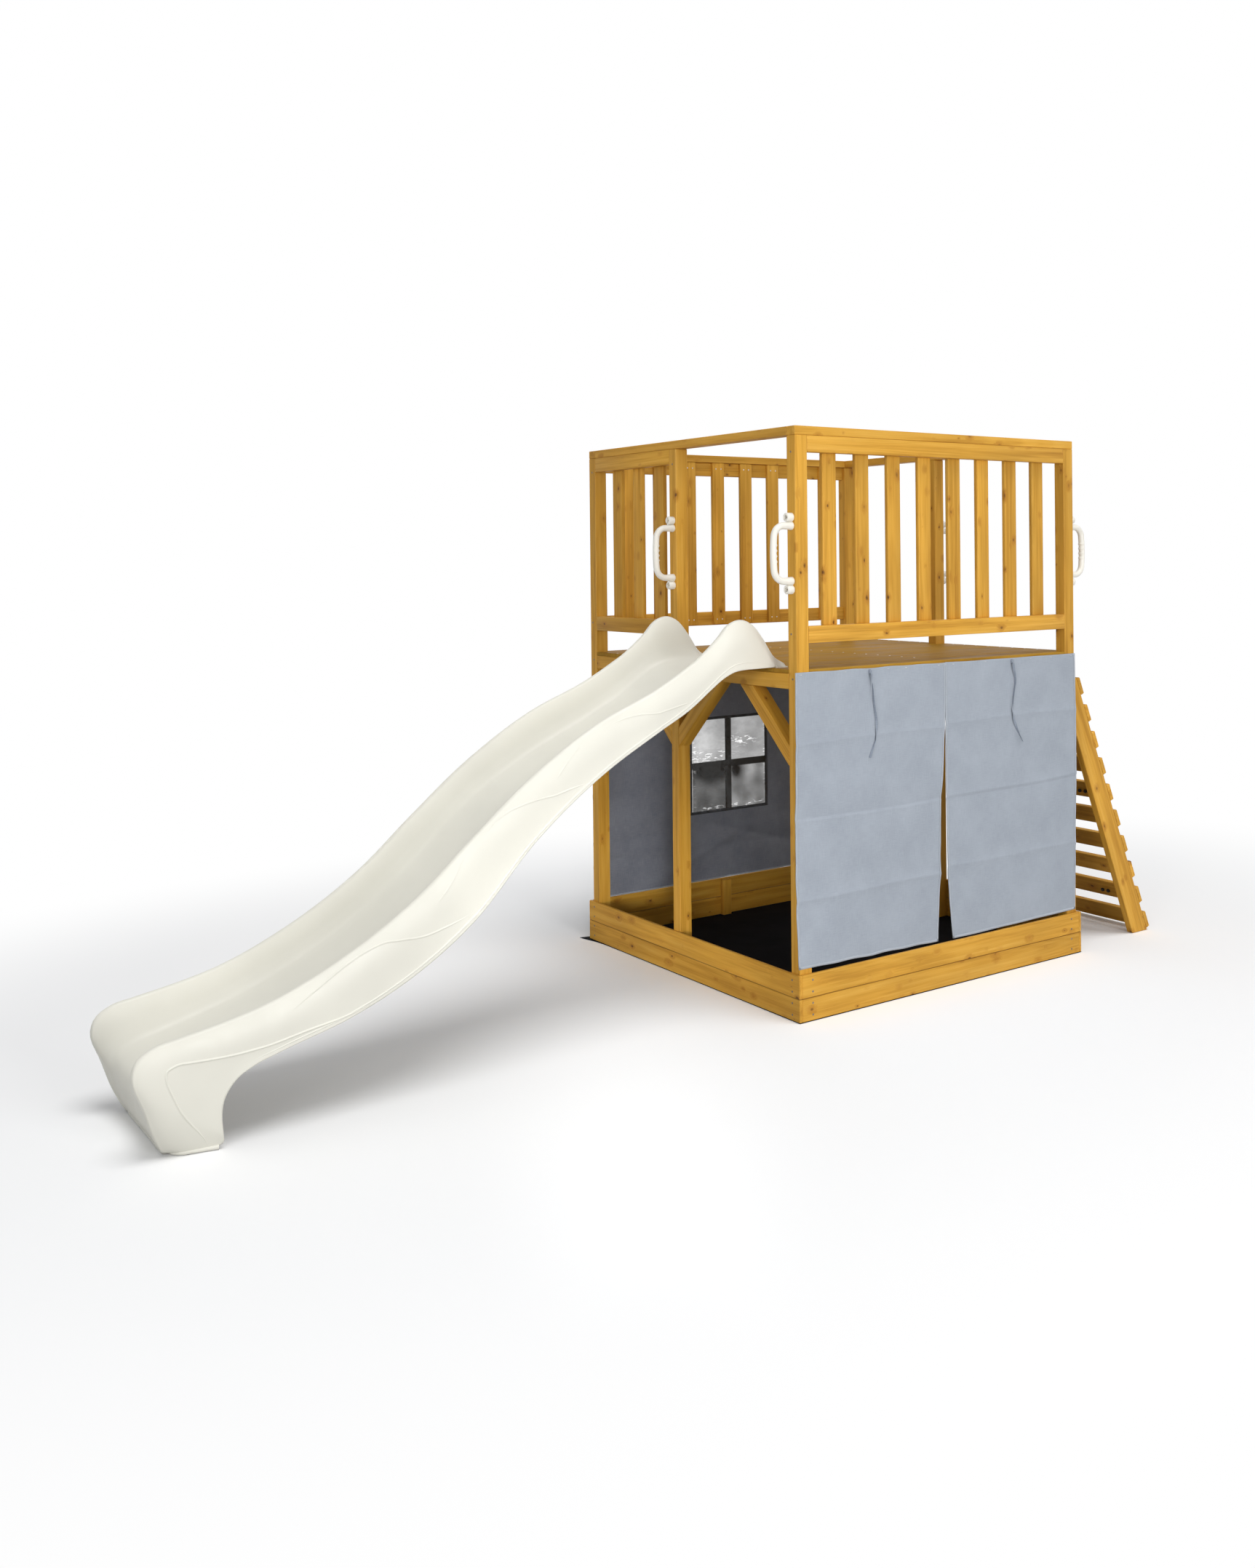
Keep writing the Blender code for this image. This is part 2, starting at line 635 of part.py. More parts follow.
def hanging_cloth(name, corners, outward, waves, flare=1.0, columns=(), rows=()):
    """A sheet between its top and bottom corners; the folds are a sum of sine waves, nil at the top.

    A wave is its share of the fold depth, its turns across and down, and its phase. The left edge follows the
    height to the power of flare. columns and rows hold the sides of any holes, as shares of width and height.
    """
    across = spread((0.0, *columns, 1.0), cloth_columns)
    down = spread((0.0, *rows, 1.0), cloth_rows)
    shape = bmesh.new()
    bmesh.ops.create_grid(shape, x_segments=len(across) - 1, y_segments=len(down) - 1, size=0.5)
    for point in shape.verts:
        column = round((point.co.x + 0.5) * (len(across) - 1))
        row = round((0.5 - point.co.y) * (len(down) - 1))
        point.co = (across[column], down[row], 0.0)
    holes = []
    for face in shape.faces:
        u, v, _ = face.calc_center_median()
        if np.searchsorted(columns, u) % 2 and np.searchsorted(rows, v) % 2:
            holes.append(face)
    bmesh.ops.delete(shape, geom=holes, context="FACES")
    top_left, top_right, bottom_left, bottom_right = (Vector(corner) for corner in corners)
    for point in shape.verts:
        u, v, _ = point.co
        share = sum(size * 0.5 * (1 + math.sin(2 * math.pi * (turns_u * u + turns_v * v) + phase))
                    for size, turns_u, turns_v, phase in waves)
        left = top_left.lerp(bottom_left, v)
        left.x = top_left.x + (bottom_left.x - top_left.x) * v**flare
        point.co = left.lerp(top_right.lerp(bottom_right, v), u)
        point.co.y += outward * fold_depth * share * min(1.0, fold_start * v)
    mesh = bpy.data.meshes.new(name)
    shape.to_mesh(mesh)
    shape.free()
    return mesh


def build_curtains():
    """Two curtains, each with its origin on the line it swings about."""
    hinge_z = curtain_top - hinge_drop
    for name, top_x, bottom, waves, flare in (
        ("curtain_left", left_top_x, left_bottom, ((0.58, 0.6, 2.1, 0.4), (0.42, 2.2, 0.7, 2.0)), 1.0),
        ("curtain_right", right_top_x, right_bottom, ((0.58, -0.5, 2.3, 1.9), (0.42, 1.8, 0.5, 0.6)), slit_flare),
    ):
        corners = [(px, 0.0, hinge_drop) for px in top_x] + [(px, 0.0, pz - hinge_z) for px, pz in bottom]
        hinge = (0.0, -half_depth - curtain_clearance, hinge_z)
        curtain = place(name, hanging_cloth(name, corners, -1.0, waves, flare), curtain_fabric, hinge)
        give_thickness(curtain, curtain_thickness, -1.0)


def build_back_wall():
    """The fixed cloth at the back, with a clear panel sewn behind its four window holes."""
    outer = half_width - wall_inset
    y = half_depth + curtain_clearance
    corners = [(px, y, pz) for pz in (curtain_top, wall_bottom) for px in (-outer, outer)]
    columns = [(px + outer) / (2 * outer) for px in window_x]
    rows = [(curtain_top - pz) / (curtain_top - wall_bottom) for pz in reversed(window_z)]
    waves = ((0.55, 1.3, 1.7, 0.2), (0.45, 3.1, 0.6, 1.4))
    mesh = hanging_cloth("back_wall", corners, 1.0, waves, columns=columns, rows=rows)
    wall = place("back_wall", mesh, curtain_fabric)
    give_thickness(wall, curtain_thickness, 1.0)
    film_y = y - curtain_thickness - 3 * gap
    panel = timber(
        "back_window",
        (window_x[0] - window_lap, window_x[-1] + window_lap),
        (film_y - window_thickness, film_y),
        (window_z[0] - window_lap, window_z[-1] + window_lap),
        clear_film,
    )
    panel.modifiers.clear()


# Tie tapes: X and Z from the tower's middle, from the top edge of a curtain to the free end
tie_left_route = [
    (-0.3915, 1.172), (-0.3890, 1.147), (-0.3866, 1.119), (-0.3845, 1.091), (-0.3812, 1.063), (-0.3760, 1.035),
    (-0.3715, 1.012), (-0.3695, 0.989), (-0.3700, 0.963), (-0.3740, 0.940), (-0.3845, 0.919), (-0.4030, 0.876),
]
tie_right_route = [
    (0.3504, 1.172), (0.3530, 1.150), (0.3585, 1.125), (0.3600, 1.098), (0.3545, 1.070), (0.3480, 1.040),
    (0.3445, 1.010), (0.3470, 0.980), (0.3545, 0.950), (0.3660, 0.922), (0.3830, 0.893), (0.4000, 0.868),
]


def build_ties():
    y = -half_depth - curtain_clearance - fold_depth - gap - tape_diameter / 2
    for name, route in (("tie_left", tie_left_route), ("tie_right", tie_right_route)):
        points = [(px, y, pz) for px, pz in along(route, tape_samples)]
        place(name, round_bar(name, points, tape_diameter), tape_fabric)


clear_scene()
parts = make_collection("cubby_house_with_slide")
cutters = make_collection("construction")
pine = make_material("stained_pine", (0.62, 0.33, 0.07), 0.45)
deck_wood = make_material("stained_deck", (0.42, 0.25, 0.08), 0.30)
slide_plastic = make_material("slide_plastic", (0.84, 0.81, 0.72), 0.40)
handle_plastic = make_material("handle_plastic", (0.88, 0.84, 0.76), 0.35)
hold_plastic = make_material("hold_plastic", (0.60, 0.30, 0.06), 0.45)
clear_film = make_material("window_film", (0.75, 0.78, 0.80), 0.10)
curtain_fabric = make_material("curtain_fabric", (0.40, 0.45, 0.52), 0.85)
tape_fabric = make_material("tape_fabric", (0.22, 0.25, 0.30), 0.90)
sheet_black = make_material("ground_sheet", (0.01, 0.01, 0.012), 0.80)

build_posts()
build_caps()
build_balustrades()
build_deck()
build_deck_beams()
build_braces()
build_base()
build_slide()
build_handles()
build_ladder()
build_climbing_holds()
build_curtains()
build_back_wall()
build_ties()
bpy.context.view_layer.update()
print(f"{len(parts.objects)} sub-parts")
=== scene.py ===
import math

import bmesh
import bpy
import numpy as np
from mathutils import Matrix, Vector


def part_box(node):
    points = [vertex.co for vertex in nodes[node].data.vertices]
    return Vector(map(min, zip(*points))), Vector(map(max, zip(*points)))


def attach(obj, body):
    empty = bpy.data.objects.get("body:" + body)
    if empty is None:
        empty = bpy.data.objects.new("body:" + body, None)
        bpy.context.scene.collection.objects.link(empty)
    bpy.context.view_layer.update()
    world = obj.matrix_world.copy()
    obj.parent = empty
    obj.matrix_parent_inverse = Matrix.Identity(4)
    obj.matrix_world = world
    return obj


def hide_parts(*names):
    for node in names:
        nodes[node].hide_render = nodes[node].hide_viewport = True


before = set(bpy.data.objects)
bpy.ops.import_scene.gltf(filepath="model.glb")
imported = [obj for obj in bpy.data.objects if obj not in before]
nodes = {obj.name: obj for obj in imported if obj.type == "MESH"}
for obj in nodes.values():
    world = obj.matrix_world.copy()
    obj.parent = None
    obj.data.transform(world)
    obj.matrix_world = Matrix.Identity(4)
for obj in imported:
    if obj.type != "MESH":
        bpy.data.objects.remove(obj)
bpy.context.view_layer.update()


def nodeBox(name):
    # lowest and highest corner of a CAD node, as arrays
    low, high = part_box(name)
    return np.array(low), np.array(high)


towerLow = nodeBox("post_slide_front")[0]
towerHigh = nodeBox("post_ladder_back")[1]
towerX = (towerLow[0] + towerHigh[0]) / 2        # the tower's middle
towerHalf = (towerHigh[:2] - towerLow[:2]) / 2
print("frame loaded, tower middle at", round(towerX, 4))

# The camera that was fitted to the photograph, placed from the tower's middle
photoCamera = {
    "x": -3.8623,
    "y": -4.2660,
    "z": 1.5860,
    "yaw": 0.5947,        # from +Y towards +X
    "pitch": 0.0065,      # down
    "roll": 0.0105,
    "lens": 32.10,
    "sensor": 36.0,       # the long side, in mm
    "shiftY": -0.1379,
}


def makeCamera(values):
    yaw, pitch, roll = values["yaw"], values["pitch"], values["roll"]
    level = Vector((math.sin(yaw), math.cos(yaw), 0.0))
    right = Vector((math.cos(yaw), -math.sin(yaw), 0.0))
    up = Vector((0.0, 0.0, 1.0))
    forward = math.cos(pitch) * level - math.sin(pitch) * up
    above = math.cos(pitch) * up + math.sin(pitch) * level
    columns = [
        math.cos(roll) * right - math.sin(roll) * above,
        math.sin(roll) * right + math.cos(roll) * above,
        -forward,
    ]
    camera = bpy.data.objects.new("camera", bpy.data.cameras.new("camera"))
    bpy.context.scene.collection.objects.link(camera)
    turn = Matrix(columns).transposed().to_4x4()
    camera.matrix_world = Matrix.Translation((values["x"] + towerX, values["y"], values["z"])) @ turn
    camera.data.lens = values["lens"]
    camera.data.sensor_width = values["sensor"]
    camera.data.shift_y = values["shiftY"]
    bpy.context.scene.camera = camera


makeCamera(photoCamera)
bpy.context.scene.view_settings.view_transform = "Standard"
print("camera ready")


# Shader helpers: a node with its settings, then short forms of the ones that come often

def addNode(tree, kind, inputs=None, **settings):
    node = tree.nodes.new(kind)
    for key, value in settings.items():
        setattr(node, key, value)
    for socket, value in (inputs or {}).items():
        plug(tree, value, node.inputs[socket])
    return node


def plug(tree, value, socket):
    # a value goes onto the socket, another socket is linked to it
    if isinstance(value, bpy.types.NodeSocket):
        tree.links.new(value, socket)
    elif value is not None:
        socket.default_value = value


def maths(tree, operation, *terms, clamp=False):
    node = addNode(tree, "ShaderNodeMath", operation=operation, use_clamp=clamp)
    for socket, term in zip(node.inputs, terms):
        plug(tree, term, socket)
    return node.outputs[0]


def stretch(tree, vector, factors):
    return addNode(tree, "ShaderNodeVectorMath", {0: vector, 1: factors}, operation="MULTIPLY").outputs[0]


def addVectors(tree, first, second):
    return addNode(tree, "ShaderNodeVectorMath", {0: first, 1: second}, operation="ADD").outputs[0]


def weighted(tree, *pairs):
    # the sum of values, each times its weight
    total = None
    for value, weight in pairs:
        term = maths(tree, "MULTIPLY", value, weight)
        total = term if total is None else maths(tree, "ADD", total, term)
    return total


def objectPlace(tree):
    return addNode(tree, "ShaderNodeTexCoord").outputs["Object"]


def attribute(tree, name, output="Fac"):
    return addNode(tree, "ShaderNodeAttribute", attribute_name=name).outputs[output]


def noise(tree, vector, scale=1.0, detail=2.0, roughness=0.5, output="Fac"):
    inputs = {"Vector": vector, "Scale": scale, "Detail": detail, "Roughness": roughness}
    return addNode(tree, "ShaderNodeTexNoise", inputs).outputs[output]


def remap(tree, value, low, high, newLow=0.0, newHigh=1.0, smooth=True):
    node = addNode(tree, "ShaderNodeMapRange", interpolation_type="SMOOTHSTEP" if smooth else "LINEAR")
    for number, term in enumerate((value, low, high, newLow, newHigh)):
        plug(tree, term, node.inputs[number])
    return node.outputs[0]


def mixColours(tree, share, first, second):
    node = addNode(tree, "ShaderNodeMix", data_type="RGBA")
    for number, term in ((0, share), (6, first), (7, second)):
        if isinstance(term, tuple):
            term = (*term, 1.0)
        plug(tree, term, node.inputs[number])
    return node.outputs[2]


def colourRamp(tree, value, stops):
    node = addNode(tree, "ShaderNodeValToRGB")
    plug(tree, value, node.inputs[0])
    while len(node.color_ramp.elements) < len(stops):
        node.color_ramp.elements.new(0.5)
    for element, (position, colour) in zip(node.color_ramp.elements, stops):
        element.position = position
        element.color = (*colour, 1.0)
    return node.outputs[0]


def newGroup(name, inputs, outputs):
    # a node group; inputs and outputs are pairs of a socket's name and its type
    tree = bpy.data.node_groups.new(name, "ShaderNodeTree")
    for label, kind in inputs:
        tree.interface.new_socket(name=label, in_out="INPUT", socket_type=kind)
    for label, kind in outputs:
        tree.interface.new_socket(name=label, in_out="OUTPUT", socket_type=kind)
    given = tree.nodes.new("NodeGroupInput")
    result = tree.nodes.new("NodeGroupOutput")
    return tree, given.outputs, result.inputs


def useGroup(tree, group, inputs):
    node = tree.nodes.new("ShaderNodeGroup")
    node.node_tree = group
    for label, value in inputs.items():
        plug(tree, value, node.inputs[label])
    return node.outputs


def newMaterial(name, constants):
    # a Principled material; constants are set on the shader's own sockets
    material = bpy.data.materials.new(name)
    material.use_nodes = True
    shader = material.node_tree.nodes["Principled BSDF"]
    for socket, value in constants.items():
        shader.inputs[socket].default_value = value
    return material, material.node_tree, shader


def bumpInto(tree, shader, height, distance, strength):
    bump = addNode(tree, "ShaderNodeBump", {"Height": height, "Distance": distance, "Strength": strength})
    tree.links.new(bump.outputs[0], shader.inputs["Normal"])


# Piece helpers: meshes from whole arrays

def gridFaces(rows, columns, wrapColumns=False, flip=False):
    # quads between the neighbouring points of a grid that is kept row by row
    i = np.arange(rows - 1)[:, None]
    j = np.arange(columns if wrapColumns else columns - 1)[None, :]
    here, beside = i * columns + j, i * columns + (j + 1) % columns
    quads = np.stack([here, beside, beside + columns, here + columns], axis=-1).reshape(-1, 4)
    return quads[:, ::-1] if flip else quads


def newPiece(name, points, faces, materials, body="root", replaced=(), uv=None,
             attributes=None, closed=False, sharp=35):
    # points are rows of X, Y and Z; uv and the attributes have one row for each point
    mesh = bpy.data.meshes.new(name)
    points = np.asarray(points, float).reshape(-1, 3)
    faceLists = faces.tolist() if isinstance(faces, np.ndarray) else faces
    mesh.from_pydata(points.tolist(), [], faceLists)
    corner = np.empty(len(mesh.loops), dtype=np.int32)
    mesh.loops.foreach_get("vertex_index", corner)
    if uv is not None:
        layer = mesh.uv_layers.new(name="UVMap")
        layer.data.foreach_set("uv", np.asarray(uv, float).reshape(-1, 2)[corner].ravel())
    for label, values in (attributes or {}).items():
        values = np.asarray(values, float)
        kind, key = ("FLOAT", "value") if values.ndim == 1 else ("FLOAT_VECTOR", "vector")
        mesh.attributes.new(label, kind, "POINT").data.foreach_set(key, values.ravel())
    if closed:
        shape = bmesh.new()
        shape.from_mesh(mesh)
        bmesh.ops.recalc_face_normals(shape, faces=shape.faces)
        shape.to_mesh(mesh)
        shape.free()
    mesh.shade_smooth()
    mesh.set_sharp_from_angle(angle=math.radians(sharp))
    for material in materials if isinstance(materials, (list, tuple)) else [materials]:
        mesh.materials.append(material)
    piece = bpy.data.objects.new(name, mesh)
    bpy.context.scene.collection.objects.link(piece)
    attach(piece, body)
    if replaced:
        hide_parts(*replaced)
    return piece


def giveThickness(piece, thickness, side=-1.0, inner=0):
    # inner is how many material slots further the other side's material is
    shell = piece.modifiers.new("thickness", "SOLIDIFY")
    shell.thickness = thickness
    shell.offset = side
    shell.material_offset = inner
    shell.material_offset_rim = 0


def resample(points, position, where):
    # cubic Hermite pieces through the points; the slopes are the mean ones of the neighbouring chords
    slope = np.gradient(points, position, axis=0)
    piece = np.clip(np.searchsorted(position, where, side="right") - 1, 0, len(position) - 2)
    length = (position[piece + 1] - position[piece])[:, None]
    t = (where - position[piece])[:, None] / length
    start, end = points[piece], points[piece + 1]
    return (
        (2 * t**3 - 3 * t**2 + 1) * start
        + (t**3 - 2 * t**2 + t) * length * slope[piece]
        + (-2 * t**3 + 3 * t**2) * end
        + (t**3 - t**2) * length * slope[piece + 1]
    )


def stepLengths(points):
    return np.linalg.norm(np.diff(points, axis=0), axis=1)


def smoothAlong(points, count):
    # even samples of the smooth curve through chosen points, by chord length
    points = np.asarray(points, float)
    position = np.concatenate([[0.0], np.cumsum(stepLengths(points))])
    return resample(points, position, np.linspace(0.0, position[-1], count))


def directions(path):
    # the unit tangents at a path's points
    along = np.gradient(path, axis=0)
    return along / np.linalg.norm(along, axis=1, keepdims=True)


def ringTube(path, ring, across, beside):
    # a ring of (across, beside) offsets carried along a path; the offsets may differ at each path point
    return path[:, None, :] + ring[..., 0:1] * across[:, None, :] + ring[..., 1:2] * beside[:, None, :]


def ovalTube(path, across, beside, wide, thin, count):
    # a tube whose ring is an oval of two half measures
    turn = np.linspace(0, math.tau, count, endpoint=False)
    return ringTube(path, np.stack([np.cos(turn) * wide, np.sin(turn) * thin], axis=-1), across, beside)


def joinSurfaces(surfaces):
    # closed tubes of rings, each with a face on both its ends, as one list of points and faces
    points, faces = [], []
    start = 0
    for surface in surfaces:
        rows, columns = surface.shape[:2]
        faces += (gridFaces(rows, columns, wrapColumns=True) + start).tolist()
        faces.append([start + j for j in reversed(range(columns))])
        faces.append([start + (rows - 1) * columns + j for j in range(columns)])
        points.append(surface.reshape(-1, 3))
        start += rows * columns
    return np.concatenate(points), faces


def sheetGrid(low, high, first, second, cell):
    # an even grid over two axes of a box, and its points as shares from 0 to 1
    spanA, spanB = high[first] - low[first], high[second] - low[second]
    columns = np.linspace(low[first], high[first], round(spanA / cell))
    rows = np.linspace(low[second], high[second], round(spanB / cell))
    b, a = np.meshgrid(rows, columns, indexing="ij")
    return a, b, (a - low[first]) / spanA, (b - low[second]) / spanB


def bumpy(x, y, seed, waves, low, high):
    # a smooth random surface: sine waves in random directions, low to high turns over a unit, about -1 to 1
    rng = np.random.default_rng(seed)
    total = 0.0
    for _ in range(waves):
        angle = rng.uniform(0, math.tau)
        turns = rng.uniform(low, high)
        phase = rng.uniform(0, math.tau)
        total = total + np.sin(math.tau * turns * (x * math.cos(angle) + y * math.sin(angle)) + phase)
    return total / math.sqrt(waves)


# Tie tapes: flat tapes sewn to the curtains' top edges, hanging limp and twisted

hungCloth = {                # what the curtains and the back wall share
    "thickness": 0.0016,
    "foldDepth": 0.0052,
    "clearance": 0.0035,     # from the posts' outer faces
    "hemThickness": 0.0005,
    "hemLift": 0.0004,
    "slot": "curtain_fabric",
}
tieTape = {
    "width": 0.009,
    "thickness": 0.0009,
    "gap": 0.0003,           # between the tape and the deepest fold
    "samples": 90,
    "ringPoints": 14,
    "twistTurns": 1.6,
    "twistWave": 0.09,       # how unevenly the tape turns, and how often that changes
    "twistPace": 9.0,
    "slot": "tape_fabric",
}
# X and Z from the tower's middle, from the top edge of a curtain to the free end, as in the part
tieRoutes = {
    "left": [
        (-0.3915, 1.172), (-0.3890, 1.147), (-0.3866, 1.119), (-0.3845, 1.091), (-0.3812, 1.063),
        (-0.3760, 1.035), (-0.3715, 1.012), (-0.3695, 0.989), (-0.3700, 0.963), (-0.3740, 0.940),
        (-0.3845, 0.919), (-0.4030, 0.876),
    ],
    "right": [
        (0.3504, 1.172), (0.3530, 1.150), (0.3585, 1.125), (0.3600, 1.098), (0.3545, 1.070),
        (0.3480, 1.040), (0.3445, 1.010), (0.3470, 0.980), (0.3545, 0.950), (0.3660, 0.922),
        (0.3830, 0.893), (0.4000, 0.868),
    ],
}


weave = {
    "acrossThread": 900.0,   # noise cells a metre across a thread, and along it
    "alongThread": 26.0,
    "mottle": 7.0,
    "threadShare": 0.36,
    "mottleShare": 0.42,
    "shade": (0.42, 0.72),
}


def makeWovenCloth(values):
    # uneven threads both ways: two noises, each stretched along one direction, over a slow mottle
    tree, given, result = newGroup(
        "wovenCloth",
        [("Place", "NodeSocketVector"), ("Light", "NodeSocketColor"), ("Dark", "NodeSocketColor")],
        [("Color", "NodeSocketColor"), ("Height", "NodeSocketFloat")],
    )
    place, fine, long = given["Place"], values["acrossThread"], values["alongThread"]
    warp = noise(tree, stretch(tree, place, (fine, long, 1.0)))
    weft = noise(tree, stretch(tree, place, (long, fine, 1.0)))
    threads = maths(tree, "ADD", warp, weft)
    slow = (values["mottle"], values["mottle"], 1.0)
    mottle = noise(tree, stretch(tree, place, slow), detail=4.0, roughness=0.6)
    shade = weighted(tree, (threads, values["threadShare"]), (mottle, values["mottleShare"]))
    share = remap(tree, shade, *values["shade"], smooth=False)
    plug(tree, mixColours(tree, share, given["Dark"], given["Light"]), result["Color"])
    plug(tree, threads, result["Height"])
    return tree


wovenCloth = makeWovenCloth(weave)


def clothMaterial(name, light, dark, roughness, bump=0.0006, sheen=0.08, gloss=0.4):
    material, tree, shader = newMaterial(name, {
        "Roughness": roughness, "Sheen Weight": sheen, "Sheen Roughness": 0.6, "Specular IOR Level": gloss,
    })
    place = addNode(tree, "ShaderNodeUVMap", uv_map="UVMap").outputs[0]
    cloth = useGroup(tree, wovenCloth, {"Place": place, "Light": (*light, 1.0), "Dark": (*dark, 1.0)})
    plug(tree, cloth["Color"], shader.inputs["Base Color"])
    bumpInto(tree, shader, cloth["Height"], bump, 0.5)
    return material


def makeTie(side, route, values, material):
    # a flat oval ring of the tape's width, turned about the path as it goes
    y = towerLow[1] - hungCloth["clearance"] - hungCloth["foldDepth"] - values["gap"] - values["width"] / 2
    line = smoothAlong(route, values["samples"])
    path = np.column_stack([line[:, 0] + towerX, np.full(len(line), y), line[:, 1]])
    outward = np.array([0.0, -1.0, 0.0])
    across = np.cross(directions(path), outward)
    share = np.linspace(0.0, 1.0, len(path))
    turned = share + values["twistWave"] * np.sin(values["twistPace"] * share)
    turn = math.pi * values["twistTurns"] * turned * (1 if side == "left" else -1)
    faceX = np.cos(turn)[:, None] * across + np.sin(turn)[:, None] * outward
    faceY = -np.sin(turn)[:, None] * across + np.cos(turn)[:, None] * outward
    tube = ovalTube(path, faceX, faceY, values["width"] / 2, values["thickness"] / 2, values["ringPoints"])
    points, faces = joinSurfaces([tube])
    length = stepLengths(path).sum()
    around = np.linspace(0, 2 * values["width"], values["ringPoints"], endpoint=False)
    uv = np.stack(np.meshgrid(around, share * length), axis=-1)
    tie = newPiece(f"tie{side.capitalize()}", points, faces, material, f"{side}_curtain",
                   [f"tie_{side}"], uv=uv, closed=True, sharp=60)


# the tapes are the curtains' own cloth, coloured darker: painted shade of their twisted edges
shadedTapeMaterial = clothMaterial("tieTape", (0.30, 0.34, 0.40), (0.16, 0.18, 0.22), 0.9)
for side, route in tieRoutes.items():
    makeTie(side, route, tieTape, shadedTapeMaterial)
print("ties ready")


# Stage: white floor and background for the camera, plain light for the object

stageLight = {
    "worldStrength": 0.34,
    "worldColour": (0.95, 0.97, 1.0, 1.0),
    "plainWhite": {"Color": (1.0, 1.0, 1.0, 1.0), "Strength": 1.0},
    "floorSize": 60.0,
    "floorDrop": 0.0008,     # how far the floor lies under the object
    "floorSeen": 0.93,       # the floor's shade for the camera
    "floorBounce": 0.50,     # and for the light that bounces off it
    "floorGlow": 0.07,       # how much white the camera adds
    "fadeFrom": 1.5,         # from here on the floor turns to plain white
    "fadeTo": 2.9,
    "fadeShape": (0.62, 1.0, 0.0),       # the fade reaches further along X
    "sunFrom": (0.09, -0.30, 0.95),
    "sunStrength": 1.5,
    "sunAngle": 0.55,        # how wide the sun is, for soft shadows
    # each lamp: its place and the place it points to, from the tower's middle, its size, power and spread
    "lamps": {
        "frontLamp": ((-1.0, -7.5, 1.5), (0.0, 0.0, 0.8), 3.0, 244.0, math.pi),
        "sideLamp": ((-9.5, -4.5, 1.2), (0.0, 0.0, 0.8), 3.0, 100.0, math.pi),
        "upperLamp": ((-7.5, -4.5, 3.0), (-0.6, -0.1, 1.6), 2.0, 6.5, math.radians(34)),
        "openingLamp": ((-2.6, -2.6, 0.45), (-0.90, 0.25, 0.25), 0.5, 1.6, math.radians(28)),
    },
}


def seenDirectly(tree):
    # 1 for rays that the camera sees, straight or through gloss and glass
    path = addNode(tree, "ShaderNodeLightPath")
    seen = maths(tree, "ADD", path.outputs["Is Camera Ray"], path.outputs["Is Glossy Ray"])
    return maths(tree, "ADD", seen, path.outputs["Is Transmission Ray"], clamp=True)


def makeWorld(values):
    world = bpy.data.worlds.new("studio")
    bpy.context.scene.world = world
    world.use_nodes = True
    tree = world.node_tree
    tree.nodes.clear()
    plain = {"Color": values["worldColour"], "Strength": values["worldStrength"]}
    ambient = addNode(tree, "ShaderNodeBackground", plain)
    white = addNode(tree, "ShaderNodeBackground", values["plainWhite"])
    shaders = {0: seenDirectly(tree), 1: ambient.outputs[0], 2: white.outputs[0]}
    mix = addNode(tree, "ShaderNodeMixShader", shaders)
    output = addNode(tree, "ShaderNodeOutputWorld")
    tree.links.new(mix.outputs[0], output.inputs[0])


def makeFloor(values):
    # white for the camera but for the object's shadow, and plain white away from the object
    half = values["floorSize"] / 2
    mesh = bpy.data.meshes.new("floor")
    corners = [(half * x, half * y, -values["floorDrop"]) for x, y in ((-1, -1), (1, -1), (1, 1), (-1, 1))]
    mesh.from_pydata(corners, [], [(0, 1, 2, 3)])
    material = bpy.data.materials.new("paleFloor")
    material.use_nodes = True
    tree = material.node_tree
    tree.nodes.clear()
    seen = seenDirectly(tree)
    shades = [addNode(tree, "ShaderNodeBsdfDiffuse", {"Color": (grey, grey, grey, 1.0)}).outputs[0]
              for grey in (values["floorBounce"], values["floorSeen"])]
    lit = addNode(tree, "ShaderNodeMixShader", {0: seen, 1: shades[0], 2: shades[1]})
    place = stretch(tree, objectPlace(tree), values["fadeShape"])
    apart = addNode(tree, "ShaderNodeVectorMath", {0: place}, operation="LENGTH").outputs["Value"]
    share = maths(tree, "MULTIPLY", seen, remap(tree, apart, values["fadeFrom"], values["fadeTo"]))
    white = addNode(tree, "ShaderNodeEmission", values["plainWhite"])
    strength = maths(tree, "MULTIPLY", seen, values["floorGlow"])
    glow = addNode(tree, "ShaderNodeEmission", {"Strength": strength})
    lifted = addNode(tree, "ShaderNodeAddShader", {0: lit.outputs[0], 1: glow.outputs[0]})
    total = addNode(tree, "ShaderNodeMixShader", {0: share, 1: lifted.outputs[0], 2: white.outputs[0]})
    output = addNode(tree, "ShaderNodeOutputMaterial")
    tree.links.new(total.outputs[0], output.inputs[0])
    mesh.materials.append(material)
    floor = bpy.data.objects.new("floor", mesh)
    bpy.context.scene.collection.objects.link(floor)


def makeSun(values):
    sun = bpy.data.objects.new("sun", bpy.data.lights.new("sun", "SUN"))
    sun.data.energy = values["sunStrength"]
    sun.data.angle = values["sunAngle"]
    sun.rotation_euler = (-Vector(values["sunFrom"])).to_track_quat("-Z", "Y").to_euler()
    bpy.context.scene.collection.objects.link(sun)


def makeLamp(name, place, aim, size, power, spread):
    lamp = bpy.data.objects.new(name, bpy.data.lights.new(name, "AREA"))
    lamp.data.shape = "SQUARE"
    lamp.data.size = size
    lamp.data.energy = power
    lamp.data.spread = spread
    lamp.location = (place[0] + towerX, place[1], place[2])
    lamp.rotation_euler = (Vector(aim) - Vector(place)).to_track_quat("-Z", "Y").to_euler()
    bpy.context.scene.collection.objects.link(lamp)


makeWorld(stageLight)
makeFloor(stageLight)
makeSun(stageLight)
for name, lampValues in stageLight["lamps"].items():
    makeLamp(name, *lampValues)
print("stage ready")


# Pine: one grain group, read along each board's own length

